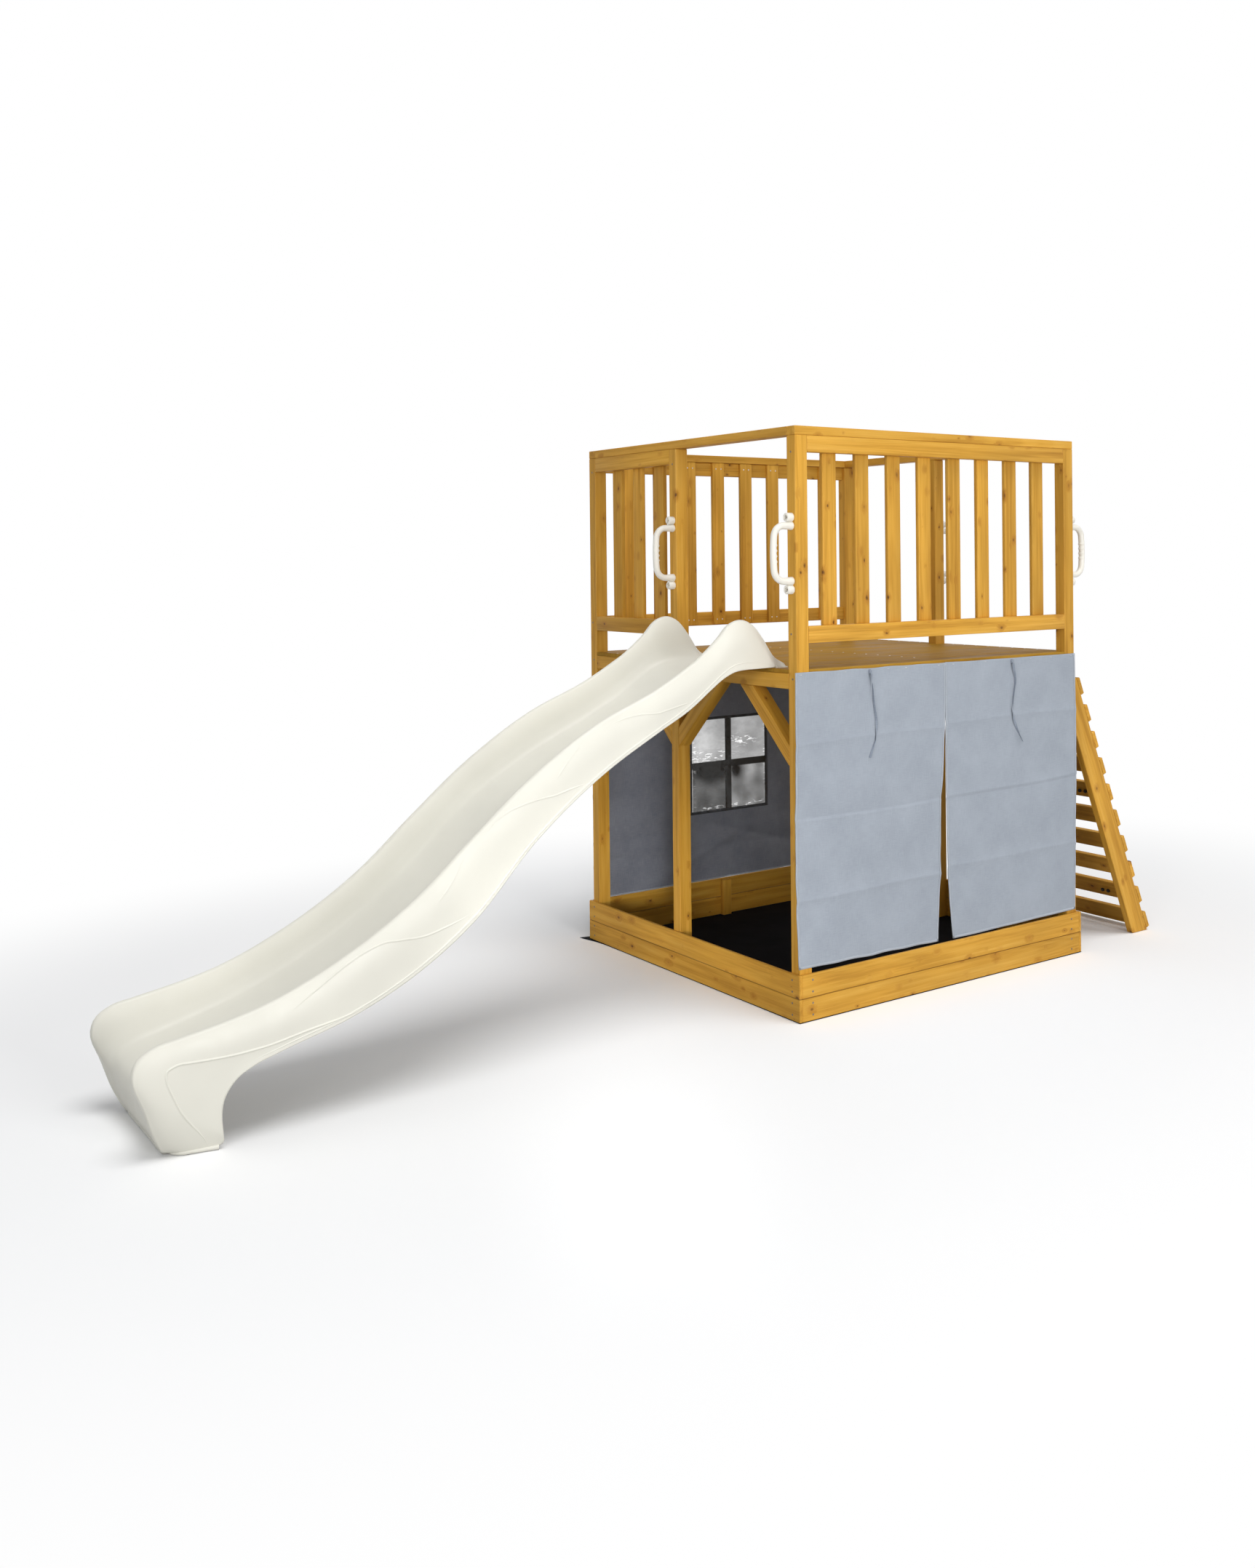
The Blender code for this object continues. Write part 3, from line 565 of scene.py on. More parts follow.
pineLook = {
    "light": (0.72, 0.410, 0.076),
    "honey": (0.60, 0.309, 0.039),
    "dark": (0.39, 0.172, 0.015),
    "knot": (0.085, 0.028, 0.006),
    "halo": (0.38, 0.145, 0.014),
    "toneSpread": 0.09,
    "knotCells": (12.0, 19.0, 19.0),     # cells a metre along, across and through a board, a knot in each
    "knotSize": (0.05, 0.230),
    "knotBend": 0.010,                   # how far the grain bends round a knot
    "streaks": (1.3, 52.0, 36.0),
    "fibres": (9.0, 420.0, 300.0),
    "growth": (0.5, 10.0, 7.0),          # the slow noise whose sine gives the growth lines
    "growthLines": 110.0,
    "clouds": (2.4, 9.0, 9.0),
    "streakShare": 0.60,
    "growthShare": 0.045,
    "fibreShare": 0.16,
}


def makePineGrain(look):
    # shade: streaks and fibres are noises stretched along X, growth lines a sine of a slow noise across the
    # board; a knot stands at the point of each stretched Voronoi cell, and its halo bends the lines round it
    tree, given, result = newGroup(
        "pineGrain",
        [("Place", "NodeSocketVector"), ("Tone", "NodeSocketFloat")],
        [("Color", "NodeSocketColor"), ("Roughness", "NodeSocketFloat"), ("Height", "NodeSocketFloat")],
    )
    place = given["Place"]

    def times(value, factor):
        return maths(tree, "MULTIPLY", value, factor)

    wobble = noise(tree, stretch(tree, place, (30.0, 40.0, 40.0)), detail=1.0, output="Color")
    wobble = stretch(tree, addVectors(tree, wobble, (-0.5, -0.5, -0.5)), (0.16, 0.16, 0.16))
    cells = addVectors(tree, stretch(tree, place, look["knotCells"]), wobble)
    voronoi = addNode(tree, "ShaderNodeTexVoronoi", {"Vector": cells, "Scale": 1.0})
    apart = voronoi.outputs["Distance"]
    parts = addNode(tree, "ShaderNodeSeparateColor", {0: voronoi.outputs["Color"]})
    size = remap(tree, parts.outputs[0], 0.15, 1.0, *look["knotSize"], smooth=False)
    knot = remap(tree, apart, times(size, 0.15), times(size, 0.75), 1.0, 0.0)
    halo = remap(tree, apart, times(size, 0.5), times(size, 2.1), 1.0, 0.0)
    bend = addNode(tree, "ShaderNodeCombineXYZ", {"Y": times(halo, look["knotBend"])})
    bent = addVectors(tree, place, bend.outputs[0])
    streaks = noise(tree, stretch(tree, bent, look["streaks"]), detail=4.0, roughness=0.6)
    fibres = noise(tree, stretch(tree, bent, look["fibres"]), detail=1.0)
    slow = noise(tree, stretch(tree, bent, look["growth"]), detail=1.0, roughness=0.35)
    rings = remap(tree, maths(tree, "SINE", times(slow, look["growthLines"])), -0.6, 1.0)
    shade = weighted(tree, (streaks, look["streakShare"]), (rings, look["growthShare"]),
                     (fibres, look["fibreShare"]))
    colour = colourRamp(tree, shade, [(0.21, look["dark"]), (0.41, look["honey"]), (0.62, look["light"])])
    clouds = noise(tree, stretch(tree, place, look["clouds"]))
    cloudy = remap(tree, clouds, 0.3, 0.7, 0.88, 1.10, smooth=False)
    tone = maths(tree, "ADD", cloudy, times(given["Tone"], look["toneSpread"]))
    toned = addNode(tree, "ShaderNodeVectorMath", {0: colour, "Scale": tone}, operation="SCALE")
    colour = mixColours(tree, times(halo, 0.5), toned.outputs[0], look["halo"])
    colour = mixColours(tree, times(knot, 0.9), colour, look["knot"])
    plug(tree, colour, result["Color"])
    plug(tree, remap(tree, shade, 0.2, 0.8, 0.56, 0.42, smooth=False), result["Roughness"])
    plug(tree, weighted(tree, (fibres, 0.5), (rings, 0.2), (knot, -0.4)), result["Height"])
    return tree


pineGrain = makePineGrain(pineLook)


def finishPine(name, readPlace, jointsAndContactShadow=()):
    # readPlace puts out the place along a board's own length and the board's tone; jointsAndContactShadow are
    # the
    # heights of dark lines: joints between boards, and a painted contact shadow along a lower edge
    coat = {"Coat Weight": 0.03, "Coat Roughness": 0.3, "Specular IOR Level": 0.2}
    material, tree, shader = newMaterial(name, coat)
    place, tone = readPlace(tree)
    grain = useGroup(tree, pineGrain, {"Place": place, "Tone": tone})
    colour = grain["Color"]
    if jointsAndContactShadow:
        height = addNode(tree, "ShaderNodeSeparateXYZ", {0: objectPlace(tree)}).outputs[2]
        # dark lines at the joints, and a painted contact shadow along the base boards' lower edge
        for seam in jointsAndContactShadow:
            apart = maths(tree, "ABSOLUTE", maths(tree, "SUBTRACT", height, seam))
            colour = mixColours(tree, remap(tree, apart, 0.0005, 0.0030, 0.50, 0.0), colour, pineLook["knot"])
    plug(tree, colour, shader.inputs["Base Color"])
    plug(tree, grain["Roughness"], shader.inputs["Roughness"])
    bumpInto(tree, shader, grain["Height"], 0.0007, 0.6)
    return material


def nodePine(name, axis, lean, number, jointsAndContactShadow):
    # grain along an axis of a CAD node, read from Object coordinates; each board has its own stretch of it
    turn = {"x": (0.0, 0.0, 0.0), "y": (0.0, 0.0, -math.pi / 2), "z": (0.0, math.pi / 2, 0.0)}[axis]
    rng = np.random.default_rng(300 + number)
    tone, shift = float(rng.uniform(-1, 1)), rng.uniform(-40, 40, 3)

    def readPlace(tree):
        leaned = addNode(tree, "ShaderNodeMapping", {"Vector": objectPlace(tree), "Rotation": lean})
        inputs = {"Vector": leaned.outputs[0], "Rotation": turn, "Location": shift}
        return addNode(tree, "ShaderNodeMapping", inputs).outputs[0], tone

    return finishPine(name, readPlace, jointsAndContactShadow)


def boardPlace(tree):
    # on new boards the attribute grain is the place along each board, and tone is its own shade
    return attribute(tree, "grain", "Vector"), attribute(tree, "tone")


ladderLean = math.radians(22.3)
ladderOutward = np.array([math.cos(ladderLean), 0.0, math.sin(ladderLean)])
ladderDown = np.array([math.sin(ladderLean), 0.0, -math.cos(ladderLean)])
braceLean = math.radians(45)
# the grain's axis and its lean, by how a node's name starts; the first match holds
grainRules = [
    (("post_", "base_cleat"), "z", (0.0, 0.0, 0.0)),
    (("cap_front", "cap_back", "beam_front", "beam_back", "base_front", "base_back"), "x", (0.0, 0.0, 0.0)),
    (("cap_", "beam_", "base_slide", "base_ladder", "deck_joist", "ladder_tread"), "y", (0.0, 0.0, 0.0)),
    (("ladder_stringer",), "z", (0.0, ladderLean, 0.0)),
    (("brace_front", "brace_middle_back"), "z", (braceLean, 0.0, 0.0)),
    (("brace_",), "z", (-braceLean, 0.0, 0.0)),
]
boardAxes = []
for name in nodes:
    matches = [rule[1:] for rule in grainRules if name.startswith(rule[0])]
    if matches:
        boardAxes.append((name, *matches[0]))
baseSeam = nodeBox("base_front_lower")[1][2]
for number, (name, axis, lean) in enumerate(boardAxes):
    # base boards: a painted contact shadow along the lower edge at 0.0008, and the dark joint between the two
    # boards
    jointsAndContactShadow = (0.0008, float(baseSeam)) if name.startswith("base_") and name != "base_cleat" else ()
    nodes[name].data.materials.clear()
    nodes[name].data.materials.append(nodePine(f"pine_{name}", axis, lean, number, jointsAndContactShadow))
boardPine = finishPine("boardPine", boardPlace)
print("pine on", len(boardAxes), "boards")


# Railings: separate rails and slats in place of each balustrade

railing = {
    "railHeight": 0.058,
    "railThickness": 0.030,
    "slatWidth": 0.064,
    "slatThickness": 0.016,
    "slatLift": 0.004,
    "longSlats": 8,
    "shortSlats": 3,
    "shortSlatShift": 0.008,     # the slide side's slats lie this far towards the slide
    "edgeRound": 0.0025,
    "gap": 0.0003,
    "slot": "stained_pine",
}
boardNumber = 0


def boardSurface(low, high, axis, edgeRound, arcPoints=4):
    # a rectangle with rounded corners carried along the axis; at both ends the arcs shrink on a quarter turn
    b, c = (axis + 1) % 3, (axis + 2) % 3
    middle, half = (low + high) / 2, (high - low) / 2
    angle = np.concatenate([np.linspace(k, k + 1, arcPoints) * math.pi / 2 for k in range(4)])
    quarter = np.repeat(np.arange(4), arcPoints)
    signB = np.array([1, -1, -1, 1])[quarter]
    signC = np.array([1, 1, -1, -1])[quarter]
    rise = np.radians([22.0, 55.0, 90.0])
    radius = edgeRound * np.sin(rise)
    inset = edgeRound * (np.cos(rise[0]) - np.cos(rise))
    along = np.concatenate([low[axis] + inset, (high[axis] - inset)[::-1]])
    radius = np.concatenate([radius, radius[::-1]])
    points = np.zeros((len(along), len(angle), 3))
    points[..., axis] = along[:, None]
    points[..., b] = middle[b] + signB * (half[b] - edgeRound) + radius[:, None] * np.cos(angle)
    points[..., c] = middle[c] + signC * (half[c] - edgeRound) + radius[:, None] * np.sin(angle)
    return points


def grainAttributes(place, seed):
    # grain is the place along, across and through a board, each shifted at random, and tone is its own shade
    rng = np.random.default_rng(seed)
    return {"grain": place + rng.uniform(-40, 40, 3), "tone": np.full(len(place), rng.uniform(-1, 1))}


def newBoard(name, low, high, axis, values, replaced):
    # an eased board whose wider side lies across the grain
    global boardNumber
    boardNumber += 1
    points, faces = joinSurfaces([boardSurface(low, high, axis, values["edgeRound"])])
    size = high - low
    wide, thin = (axis + 1) % 3, (axis + 2) % 3
    if size[wide] < size[thin]:
        wide, thin = thin, wide
    attributes = grainAttributes(points[:, [axis, wide, thin]], 900 + boardNumber)
    newPiece(name, points, faces, boardPine, "root", replaced, attributes=attributes,
             closed=True, sharp=50)


def makeRailing(label, node, axis, slats, innerSide, values, shift=0.0):
    # two rails across the bay, and slats with equal gaps on their inner faces
    low, high = nodeBox(node)
    through = 1 - axis
    railLow, railHigh = low.copy(), high.copy()
    slatLow, slatHigh = low.copy(), high.copy()
    if innerSide > 0:
        railHigh[through] = low[through] + values["railThickness"]
        slatLow[through] = high[through] - values["slatThickness"]
    else:
        railLow[through] = high[through] - values["railThickness"]
        slatHigh[through] = low[through] + values["slatThickness"]
    for place, bottom in (("Lower", low[2]), ("Upper", high[2] - values["railHeight"] + values["gap"])):
        first, last = railLow.copy(), railHigh.copy()
        first[2], last[2] = bottom, min(bottom + values["railHeight"], high[2])
        newBoard(f"rail{label}{place}", first, last, axis, values, [node])
    space = (high[axis] - low[axis] - slats * values["slatWidth"]) / (slats + 1)
    for number in range(slats):
        first, last = slatLow.copy(), slatHigh.copy()
        first[axis] = low[axis] + space + number * (values["slatWidth"] + space) - shift
        last[axis] = first[axis] + values["slatWidth"]
        first[2] = low[2] + values["slatLift"]
        newBoard(f"slat{label}{number + 1}", first, last, 2, values, [node])


makeRailing("Front", "balustrade_front", 0, railing["longSlats"], 1, railing)
makeRailing("Back", "balustrade_back", 0, railing["longSlats"], -1, railing)
makeRailing("SlideSide", "balustrade_slide_side", 1, railing["shortSlats"], 1, railing,
            railing["shortSlatShift"])
print("railings ready")


# Deck: varnished boards along X, notched round the posts

deckBoards = {
    "count": 10,
    "seam": 0.0012,
    "edgeRound": 0.0016,
    "postX": 0.055,
    "postY": 0.045,
    "middlePostY": 0.060,
    "clearance": 0.0006,
    "slot": "stained_deck",
}


def makeDeckMaterial():
    # the pine grain, browner, under a worn varnish; slow clouds change its colour and its roughness
    material, tree, shader = newMaterial("varnishedDeck", {
        "Specular IOR Level": 0.05, "Coat Weight": 0.01, "Coat Roughness": 0.25,
    })
    place, tone = boardPlace(tree)
    grain = useGroup(tree, pineGrain, {"Place": place, "Tone": tone})
    clouds = noise(tree, stretch(tree, place, (3.0, 9.0, 9.0)), detail=4.0, roughness=0.65)
    brown = mixColours(tree, remap(tree, clouds, 0.35, 0.7), (0.190, 0.100, 0.012), (0.310, 0.175, 0.022))
    plug(tree, mixColours(tree, 0.70, grain["Color"], brown), shader.inputs["Base Color"])
    plug(tree, remap(tree, clouds, 0.3, 0.75, 0.46, 0.68), shader.inputs["Roughness"])
    bumpInto(tree, shader, grain["Height"], 0.0004, 0.4)
    return material


def outlineBoard(name, outline, low, high, values, material, replaced):
    # an outline in X and Y carried up from low to high, its edges eased by a bevel
    outline = np.asarray(outline, float)
    count = len(outline)
    points = np.concatenate([np.column_stack([outline, np.full(count, z)]) for z in (low, high)])
    sides = [(i, (i + 1) % count, count + (i + 1) % count, count + i) for i in range(count)]
    faces = sides + [tuple(range(count))[::-1], tuple(range(count, 2 * count))]
    attributes = grainAttributes(points, int(abs(outline[0, 1]) * 1000) + 50)
    piece = newPiece(name, points, faces, material, "root", replaced, attributes=attributes,
                     closed=True)
    bevel = piece.modifiers.new("easedEdges", "BEVEL")
    bevel.width = values["edgeRound"]
    bevel.segments = 2
    bevel.limit_method = "ANGLE"


def makeDeck(values):
    low, high = nodeBox("deck")
    material = makeDeckMaterial()
    pitch = (high[1] - low[1]) / values["count"]
    notchX = values["postX"] + values["clearance"]
    halfPost = values["postY"] / 2 + values["clearance"]
    postLines = (low[1] + values["postY"] / 2, values["middlePostY"], high[1] - values["postY"] / 2)
    for number in range(values["count"]):
        y0 = low[1] + number * pitch + (values["seam"] / 2 if number else 0.0)
        y1 = low[1] + (number + 1) * pitch - (values["seam"] / 2 if number < values["count"] - 1 else 0.0)
        right = []
        cursor = y0
        for line in postLines:
            start, end = max(line - halfPost, y0), min(line + halfPost, y1)
            if end <= start:
                continue
            if start > cursor:
                right += [(high[0], cursor), (high[0], start)]
            right += [(high[0] - notchX, start), (high[0] - notchX, end)]
            cursor = end
        if cursor < y1:
            right += [(high[0], cursor), (high[0], y1)]
        left = [(low[0] + high[0] - x, y) for x, y in reversed(right)]
        outlineBoard(f"deckBoard{number + 1}", right + left, low[2], high[2], values, material, ["deck"])


makeDeck(deckBoards)
print("deck ready")


# Slide: the part's stations, lofted finer, with embossed lines on its sides

slideShape = {
    "middleY": -0.280,
    "wall": 0.005,
    "rim": 0.014,
    "halfFoot": 0.242,
    "halfRim": 0.232,
    "halfBed": 0.140,
    "rimLimit": 0.45,
    "bedFillet": ((0.042, 0.30), (0.024, 0.08)),
    "footHeight": 0.230,     # below this the foot draws in towards the ground
    "footDraw": 0.17,
    "footEdgeDraw": 0.11,
    "footRise": 0.0040,      # the skin ends this far above the ground, inside the lip
    "stationsAlong": 190,
    "lengthAlong": 2.6,      # for the UV map, in metres
    "samplesAcross": (40, 4, 4, 4, 4, 10, 4, 4),     # between the points of half a section, lower edge to bed
    "samplesBed": 12,
    "slot": "slide_plastic",
}
# Stations down the slide, as in the part: rim, bed and lower edge of the side, each as X and Z
slideStations = [
    (-0.6620, 1.2150, -0.662, 1.2060, -0.662, 1.2035),
    (-0.7050, 1.2400, -0.705, 1.2060, -0.705, 1.2030),
    (-0.7550, 1.3060, -0.755, 1.2060, -0.755, 1.2020),
    (-0.8000, 1.3540, -0.800, 1.2060, -0.800, 1.2010),
    (-0.8500, 1.3720, -0.850, 1.2050, -0.848, 1.2000),
    (-0.9000, 1.3580, -0.895, 1.2010, -0.890, 1.1950),
    (-0.9500, 1.3110, -0.945, 1.1840, -0.938, 1.1760),
    (-1.0200, 1.2560, -1.000, 1.1530, -0.990, 1.1430),
    (-1.1000, 1.2080, -1.090, 1.0950, -1.082, 1.0800),
    (-1.2000, 1.1560, -1.200, 1.0380, -1.200, 1.0200),
    (-1.4400, 1.0570, -1.440, 0.9300, -1.440, 0.8900),
    (-1.6800, 0.9130, -1.680, 0.7940, -1.680, 0.7130),
    (-1.8900, 0.7480, -1.890, 0.6230, -1.890, 0.5050),
    (-2.0800, 0.5910, -2.080, 0.4720, -2.070, 0.3840),
    (-2.3200, 0.4500, -2.320, 0.3430, -2.290, 0.2870),
    (-2.5600, 0.3580, -2.540, 0.2600, -2.500, 0.2320),
    (-2.6800, 0.3330, -2.640, 0.2320, -2.580, 0.2080),
    (-2.7800, 0.3170, -2.730, 0.2100, -2.634, 0.1760),
    (-2.8500, 0.3030, -2.800, 0.1900, -2.664, 0.1300),
    (-2.8912, 0.2750, -2.838, 0.1640, -2.670, 0.0880),
    (-2.9047, 0.2300, -2.850, 0.1250, -2.667, 0.0450),
    (-2.8770, 0.1500, -2.843, 0.0800, -2.668, 0.0150),
    (-2.8480, 0.0650, -2.829, 0.0350, -2.712, 0.0030),
    (-2.8160, 0.0004, -2.812, 0.0004, -2.765, 0.0004),
]


def slideSections(values):
    # a station's section runs from the lower edge over the rolled rim and the fillet to the bed, then back
    stations = smoothAlong(slideStations, values["stationsAlong"])
    rim, bed, under = stations[:, 0:2], stations[:, 2:4], stations[:, 4:6]
    eighth = 1 - math.sqrt(0.5)
    outerDrop = np.minimum(values["rim"] / np.linalg.norm(rim - under, axis=1), values["rimLimit"])[:, None]
    innerDrop = np.minimum(values["rim"] / np.linalg.norm(rim - bed, axis=1), values["rimLimit"])[:, None]
    lowering = np.clip(1 - rim[:, 1] / values["footHeight"], 0.0, 1.0)
    narrowed = 1 - values["footDraw"] * lowering**3
    edge = values["halfFoot"] * (1 - values["footEdgeDraw"] * lowering**1.5)
    half = [np.column_stack([under[:, 0], -edge, under[:, 1]])]
    for offset, start, end, share in (
        (values["halfRim"], rim, under, outerDrop),
        (values["halfRim"] - eighth * values["rim"], rim, under, eighth * outerDrop),
        (values["halfRim"] - values["rim"], rim, under, 0.0),
        (values["halfRim"] - (2 - eighth) * values["rim"], rim, bed, eighth * innerDrop),
        (values["halfRim"] - 2 * values["rim"], rim, bed, innerDrop),
        *((values["halfBed"] + beyond, bed, rim, rise) for beyond, rise in values["bedFillet"]),
        (values["halfBed"], bed, rim, 0.0),
    ):
        flat = start + (end - start) * share
        half.append(np.column_stack([flat[:, 0], -offset * narrowed, flat[:, 1]]))
    other = [points * (1.0, -1.0, 1.0) for points in reversed(half)]
    return np.stack(half + other, axis=0)


def makeSlide(values, material):
    sections = slideSections(values)
    steps = np.linalg.norm(np.diff(sections, axis=0), axis=2).mean(axis=1)
    position = np.concatenate([[0.0], np.cumsum(steps)])
    counts = [*values["samplesAcross"], values["samplesBed"], *reversed(values["samplesAcross"])]
    runs = [np.linspace(a, b, n, endpoint=False) for a, b, n in zip(position[:-1], position[1:], counts)]
    where = np.concatenate(runs + [[position[-1]]])
    across = resample(sections.reshape(len(sections), -1), position, where).reshape(len(where), -1, 3)
    points = across.transpose(1, 0, 2).copy()
    points += (towerX, values["middleY"], 0.0)
    points[..., 2] = np.maximum(points[..., 2], values["footRise"])
    uv = np.stack(np.meshgrid(where, np.linspace(0, values["lengthAlong"], points.shape[0])), axis=-1)
    slide = newPiece("slide", points, gridFaces(*points.shape[:2]), material, "root",
                     ["slide"], uv=uv, sharp=60)
    giveThickness(slide, values["wall"])
    return points


def makeMouldedPlastic(name, colour, roughness, grit=0.5):
    # a fine moulded texture with slow shade changes
    material, tree, shader = newMaterial(name, {"Specular IOR Level": 0.4})
    place = objectPlace(tree)
    clouds = noise(tree, place, 3.0, 3.0)
    dark = tuple(0.93 * value for value in colour)
    plug(tree, mixColours(tree, remap(tree, clouds, 0.3, 0.7), dark, colour), shader.inputs["Base Color"])
    plug(tree, remap(tree, noise(tree, place, 30.0, 2.0), 0.3, 0.7, roughness - 0.05, roughness + 0.06),
         shader.inputs["Roughness"])
    bumpInto(tree, shader, noise(tree, place, 900.0, 2.0), 0.0003, grit)
    return material


slidePlastic = makeMouldedPlastic("slidePlastic", (0.772, 0.755, 0.670), 0.42)
slideSkin = makeSlide(slideShape, slidePlastic)
print("slide ready")


# Raised lines moulded on the slide's sides, and the lip round its foot

slideRelief = {
    "height": 0.0016,
    "width": 0.0085,
    "sunk": 0.0010,          # how far a line's underside lies inside the wall
    "lift": 0.00005,
    "step": 0.004,
    "slot": "slide_plastic",
    "shareStretch": 6.0,     # shares along are taken times this, so that they weigh about as shares up do
    "beadPoints": 9,
    # each line: its size, then points as shares along the slide and up its side
    "lines": {
        "UpperSwoosh": (0.8, [
            (0.306, 0.93), (0.287, 0.90), (0.265, 0.81), (0.229, 0.53), (0.204, 0.38), (0.179, 0.21),
        ]),
        "UpperStreak": (0.6, [(0.355, 0.95), (0.371, 0.87), (0.398, 0.69)]),
        "MiddleSwoosh": (0.8, [
            (0.518, 0.93), (0.500, 0.97), (0.483, 0.94), (0.454, 0.80), (0.426, 0.63), (0.398, 0.43),
            (0.372, 0.28), (0.352, 0.15),
        ]),
        "MiddleStreak": (0.6, [(0.550, 0.94), (0.562, 0.86), (0.574, 0.78), (0.596, 0.72)]),
        "LowerSwoosh": (0.9, [
            (0.783, 0.76), (0.758, 0.87), (0.740, 0.92), (0.719, 0.96), (0.697, 0.96), (0.676, 0.90),
            (0.647, 0.68), (0.615, 0.44), (0.580, 0.28), (0.545, 0.15),
        ]),
        "FootPanel": (1.2, [
            (0.690, 0.03), (0.730, 0.09), (0.769, 0.18), (0.817, 0.27), (0.861, 0.45), (0.888, 0.62),
            (0.900, 0.69), (0.908, 0.705), (0.916, 0.65), (0.927, 0.53), (0.944, 0.40), (0.967, 0.14),
        ]),
        "LowerEdge": (0.7, [
            (0.030, 0.16), (0.12, 0.15), (0.20, 0.11), (0.30, 0.085), (0.45, 0.07), (0.60, 0.07),
            (0.72, 0.08), (0.80, 0.10), (0.85, 0.10),
        ]),
    },
}


def pointsOnSkin(skin, along, up, columns):
    # bilinear places on the outer side of a grid of points; the normal is the cross product of its slopes
    side = skin[:, :columns + 1]
    i, j = along * (len(side) - 1), up * columns
    row, column = np.clip(i.astype(int), 0, len(side) - 2), np.clip(j.astype(int), 0, columns - 1)
    a, b = (i - row)[:, None], (j - column)[:, None]

    def between(field):
        near = field[row, column] * (1 - a) + field[row + 1, column] * a
        far = field[row, column + 1] * (1 - a) + field[row + 1, column + 1] * a
        return near * (1 - b) + far * b

    normal = np.cross(np.gradient(side, axis=0), np.gradient(side, axis=1))
    normal *= np.sign(-normal[..., 1:2])
    normal = between(normal)
    return between(side), normal / np.linalg.norm(normal, axis=1, keepdims=True)


def reliefLine(path, outward, size, values):
    # a raised cosine bead on a flat underside, carried along the path; its height falls to nil at both ends
    across = np.cross(outward, directions(path))
    share = np.linspace(0, 1, len(path))
    taper = np.clip(np.minimum(share, 1 - share) * 7, 0.03, 1.0)[:, None] ** 0.7
    count = values["beadPoints"]
    place = np.linspace(-1, 1, count)
    width = place * values["width"] / 2
    ring = np.zeros((len(path), count + 2, 2))
    ring[:, :count, 0] = width
    rise = values["height"] * size * (0.5 + 0.5 * np.cos(math.pi * place))
    ring[:, :count, 1] = taper * rise + values["lift"]
    ring[:, count] = (width[-1], -values["sunk"])
    ring[:, count + 1] = (width[0], -values["sunk"])
    ring[..., 0] *= taper
    return ringTube(path, ring, across, outward)


def makeSlideRelief(skin, values, shape, material):
    columns = shape["samplesAcross"][0]
    further = values["shareStretch"]
    middle = (0.0, shape["middleY"], 0.0)
    surfaces = []
    for size, line in values["lines"].values():
        rough, _ = pointsOnSkin(skin, *np.array(line).T, columns)
        count = round(stepLengths(rough).sum() / values["step"])
        along, up = smoothAlong(np.array(line) * (further, 1.0), count).T
        path, outward = pointsOnSkin(skin, along / further, np.clip(up, 0.0, 0.99), columns)
        surfaces.append(reliefLine(path, outward, size, values))
    mirror = [(surface - middle) * (1.0, -1.0, 1.0) + middle for surface in surfaces]
    points, faces = joinSurfaces(surfaces + mirror)
    newPiece("slideRelief", points, faces, material, "root", closed=True, sharp=50)


footLip = {
    "lipFrom": 0.012,
    "lipHeight": 0.013,
    "lipOut": 0.0055,
    "lipLift": 0.0003,
    "spacing": 0.004,        # points of the foot's edge that lie nearer than this are left out
    "samples": 150,
    "ringPoints": 14,
    "middleY": slideShape["middleY"],
    "slot": "slide_plastic",
}


def makeFootLip(skin, values, material):
    # a round bead along the foot's lower edge: up one side's ground line, across the front and back
    near = skin[:, 0]
    low = near[:, 2] < values["lipFrom"]
    path = np.concatenate([near[low], skin[-1, 1:-1], skin[::-1, -1][low[::-1]]])
    far = stepLengths(path) > values["spacing"]
    path = smoothAlong(path[np.concatenate([[True], far])], values["samples"]) * (1.0, 1.0, 0.0)
    middle = np.array([path[:, 0].max(), values["middleY"], 0.0])
    up = np.tile([0.0, 0.0, 1.0], (len(path), 1))
    out = np.cross(directions(path), up)
    out *= np.sign(((path - middle) * out).sum(axis=1, keepdims=True) + 1e-9)
    path += (0.0, 0.0, values["lipHeight"] / 2 + values["lipLift"])
    tube = ovalTube(path, out, up, values["lipOut"], values["lipHeight"] / 2, values["ringPoints"])
    points, faces = joinSurfaces([tube])
    newPiece("slideFootLip", points, faces, material, "root", closed=True, sharp=60)


makeSlideRelief(slideSkin, slideRelief, slideShape, slidePlastic)
makeFootLip(slideSkin, footLip, slidePlastic)
print("slide relief ready")


# Grab handles: a bowed grip with finger bumps, a screw boss past each end

grabHandle = {
    "height": 0.278,
    "reach": 0.090,
    "gripDiameter": 0.0235,
    "legZ": 0.0945,          # middle of a leg, up or down from the handle's middle
    "corner": 0.042,
    "flare": 0.0030,         # how much thicker the legs are at the post
    "flareLength": 0.022,
    "bossDiameter": 0.031,
    "bossLength": 0.026,
    "bumps": 4,
    "bumpHeight": 0.0042,
    "bumpLength": 0.076,
    "samples": 150,
    "ringPoints": 24,
    "slot": "handle_plastic",
}
handleNodes = ("handle_slide_front", "handle_slide_middle", "handle_ladder_front", "handle_ladder_middle")


def handlePlace(node):
    # the middle of a handle's box, on the face of its post, and the way that it stands out along X
    low, high = nodeBox(node)
    outward = -1.0 if "slide" in node else 1.0
    place = (low + high) / 2
    place[0] = high[0] if outward < 0 else low[0]
    return place, outward


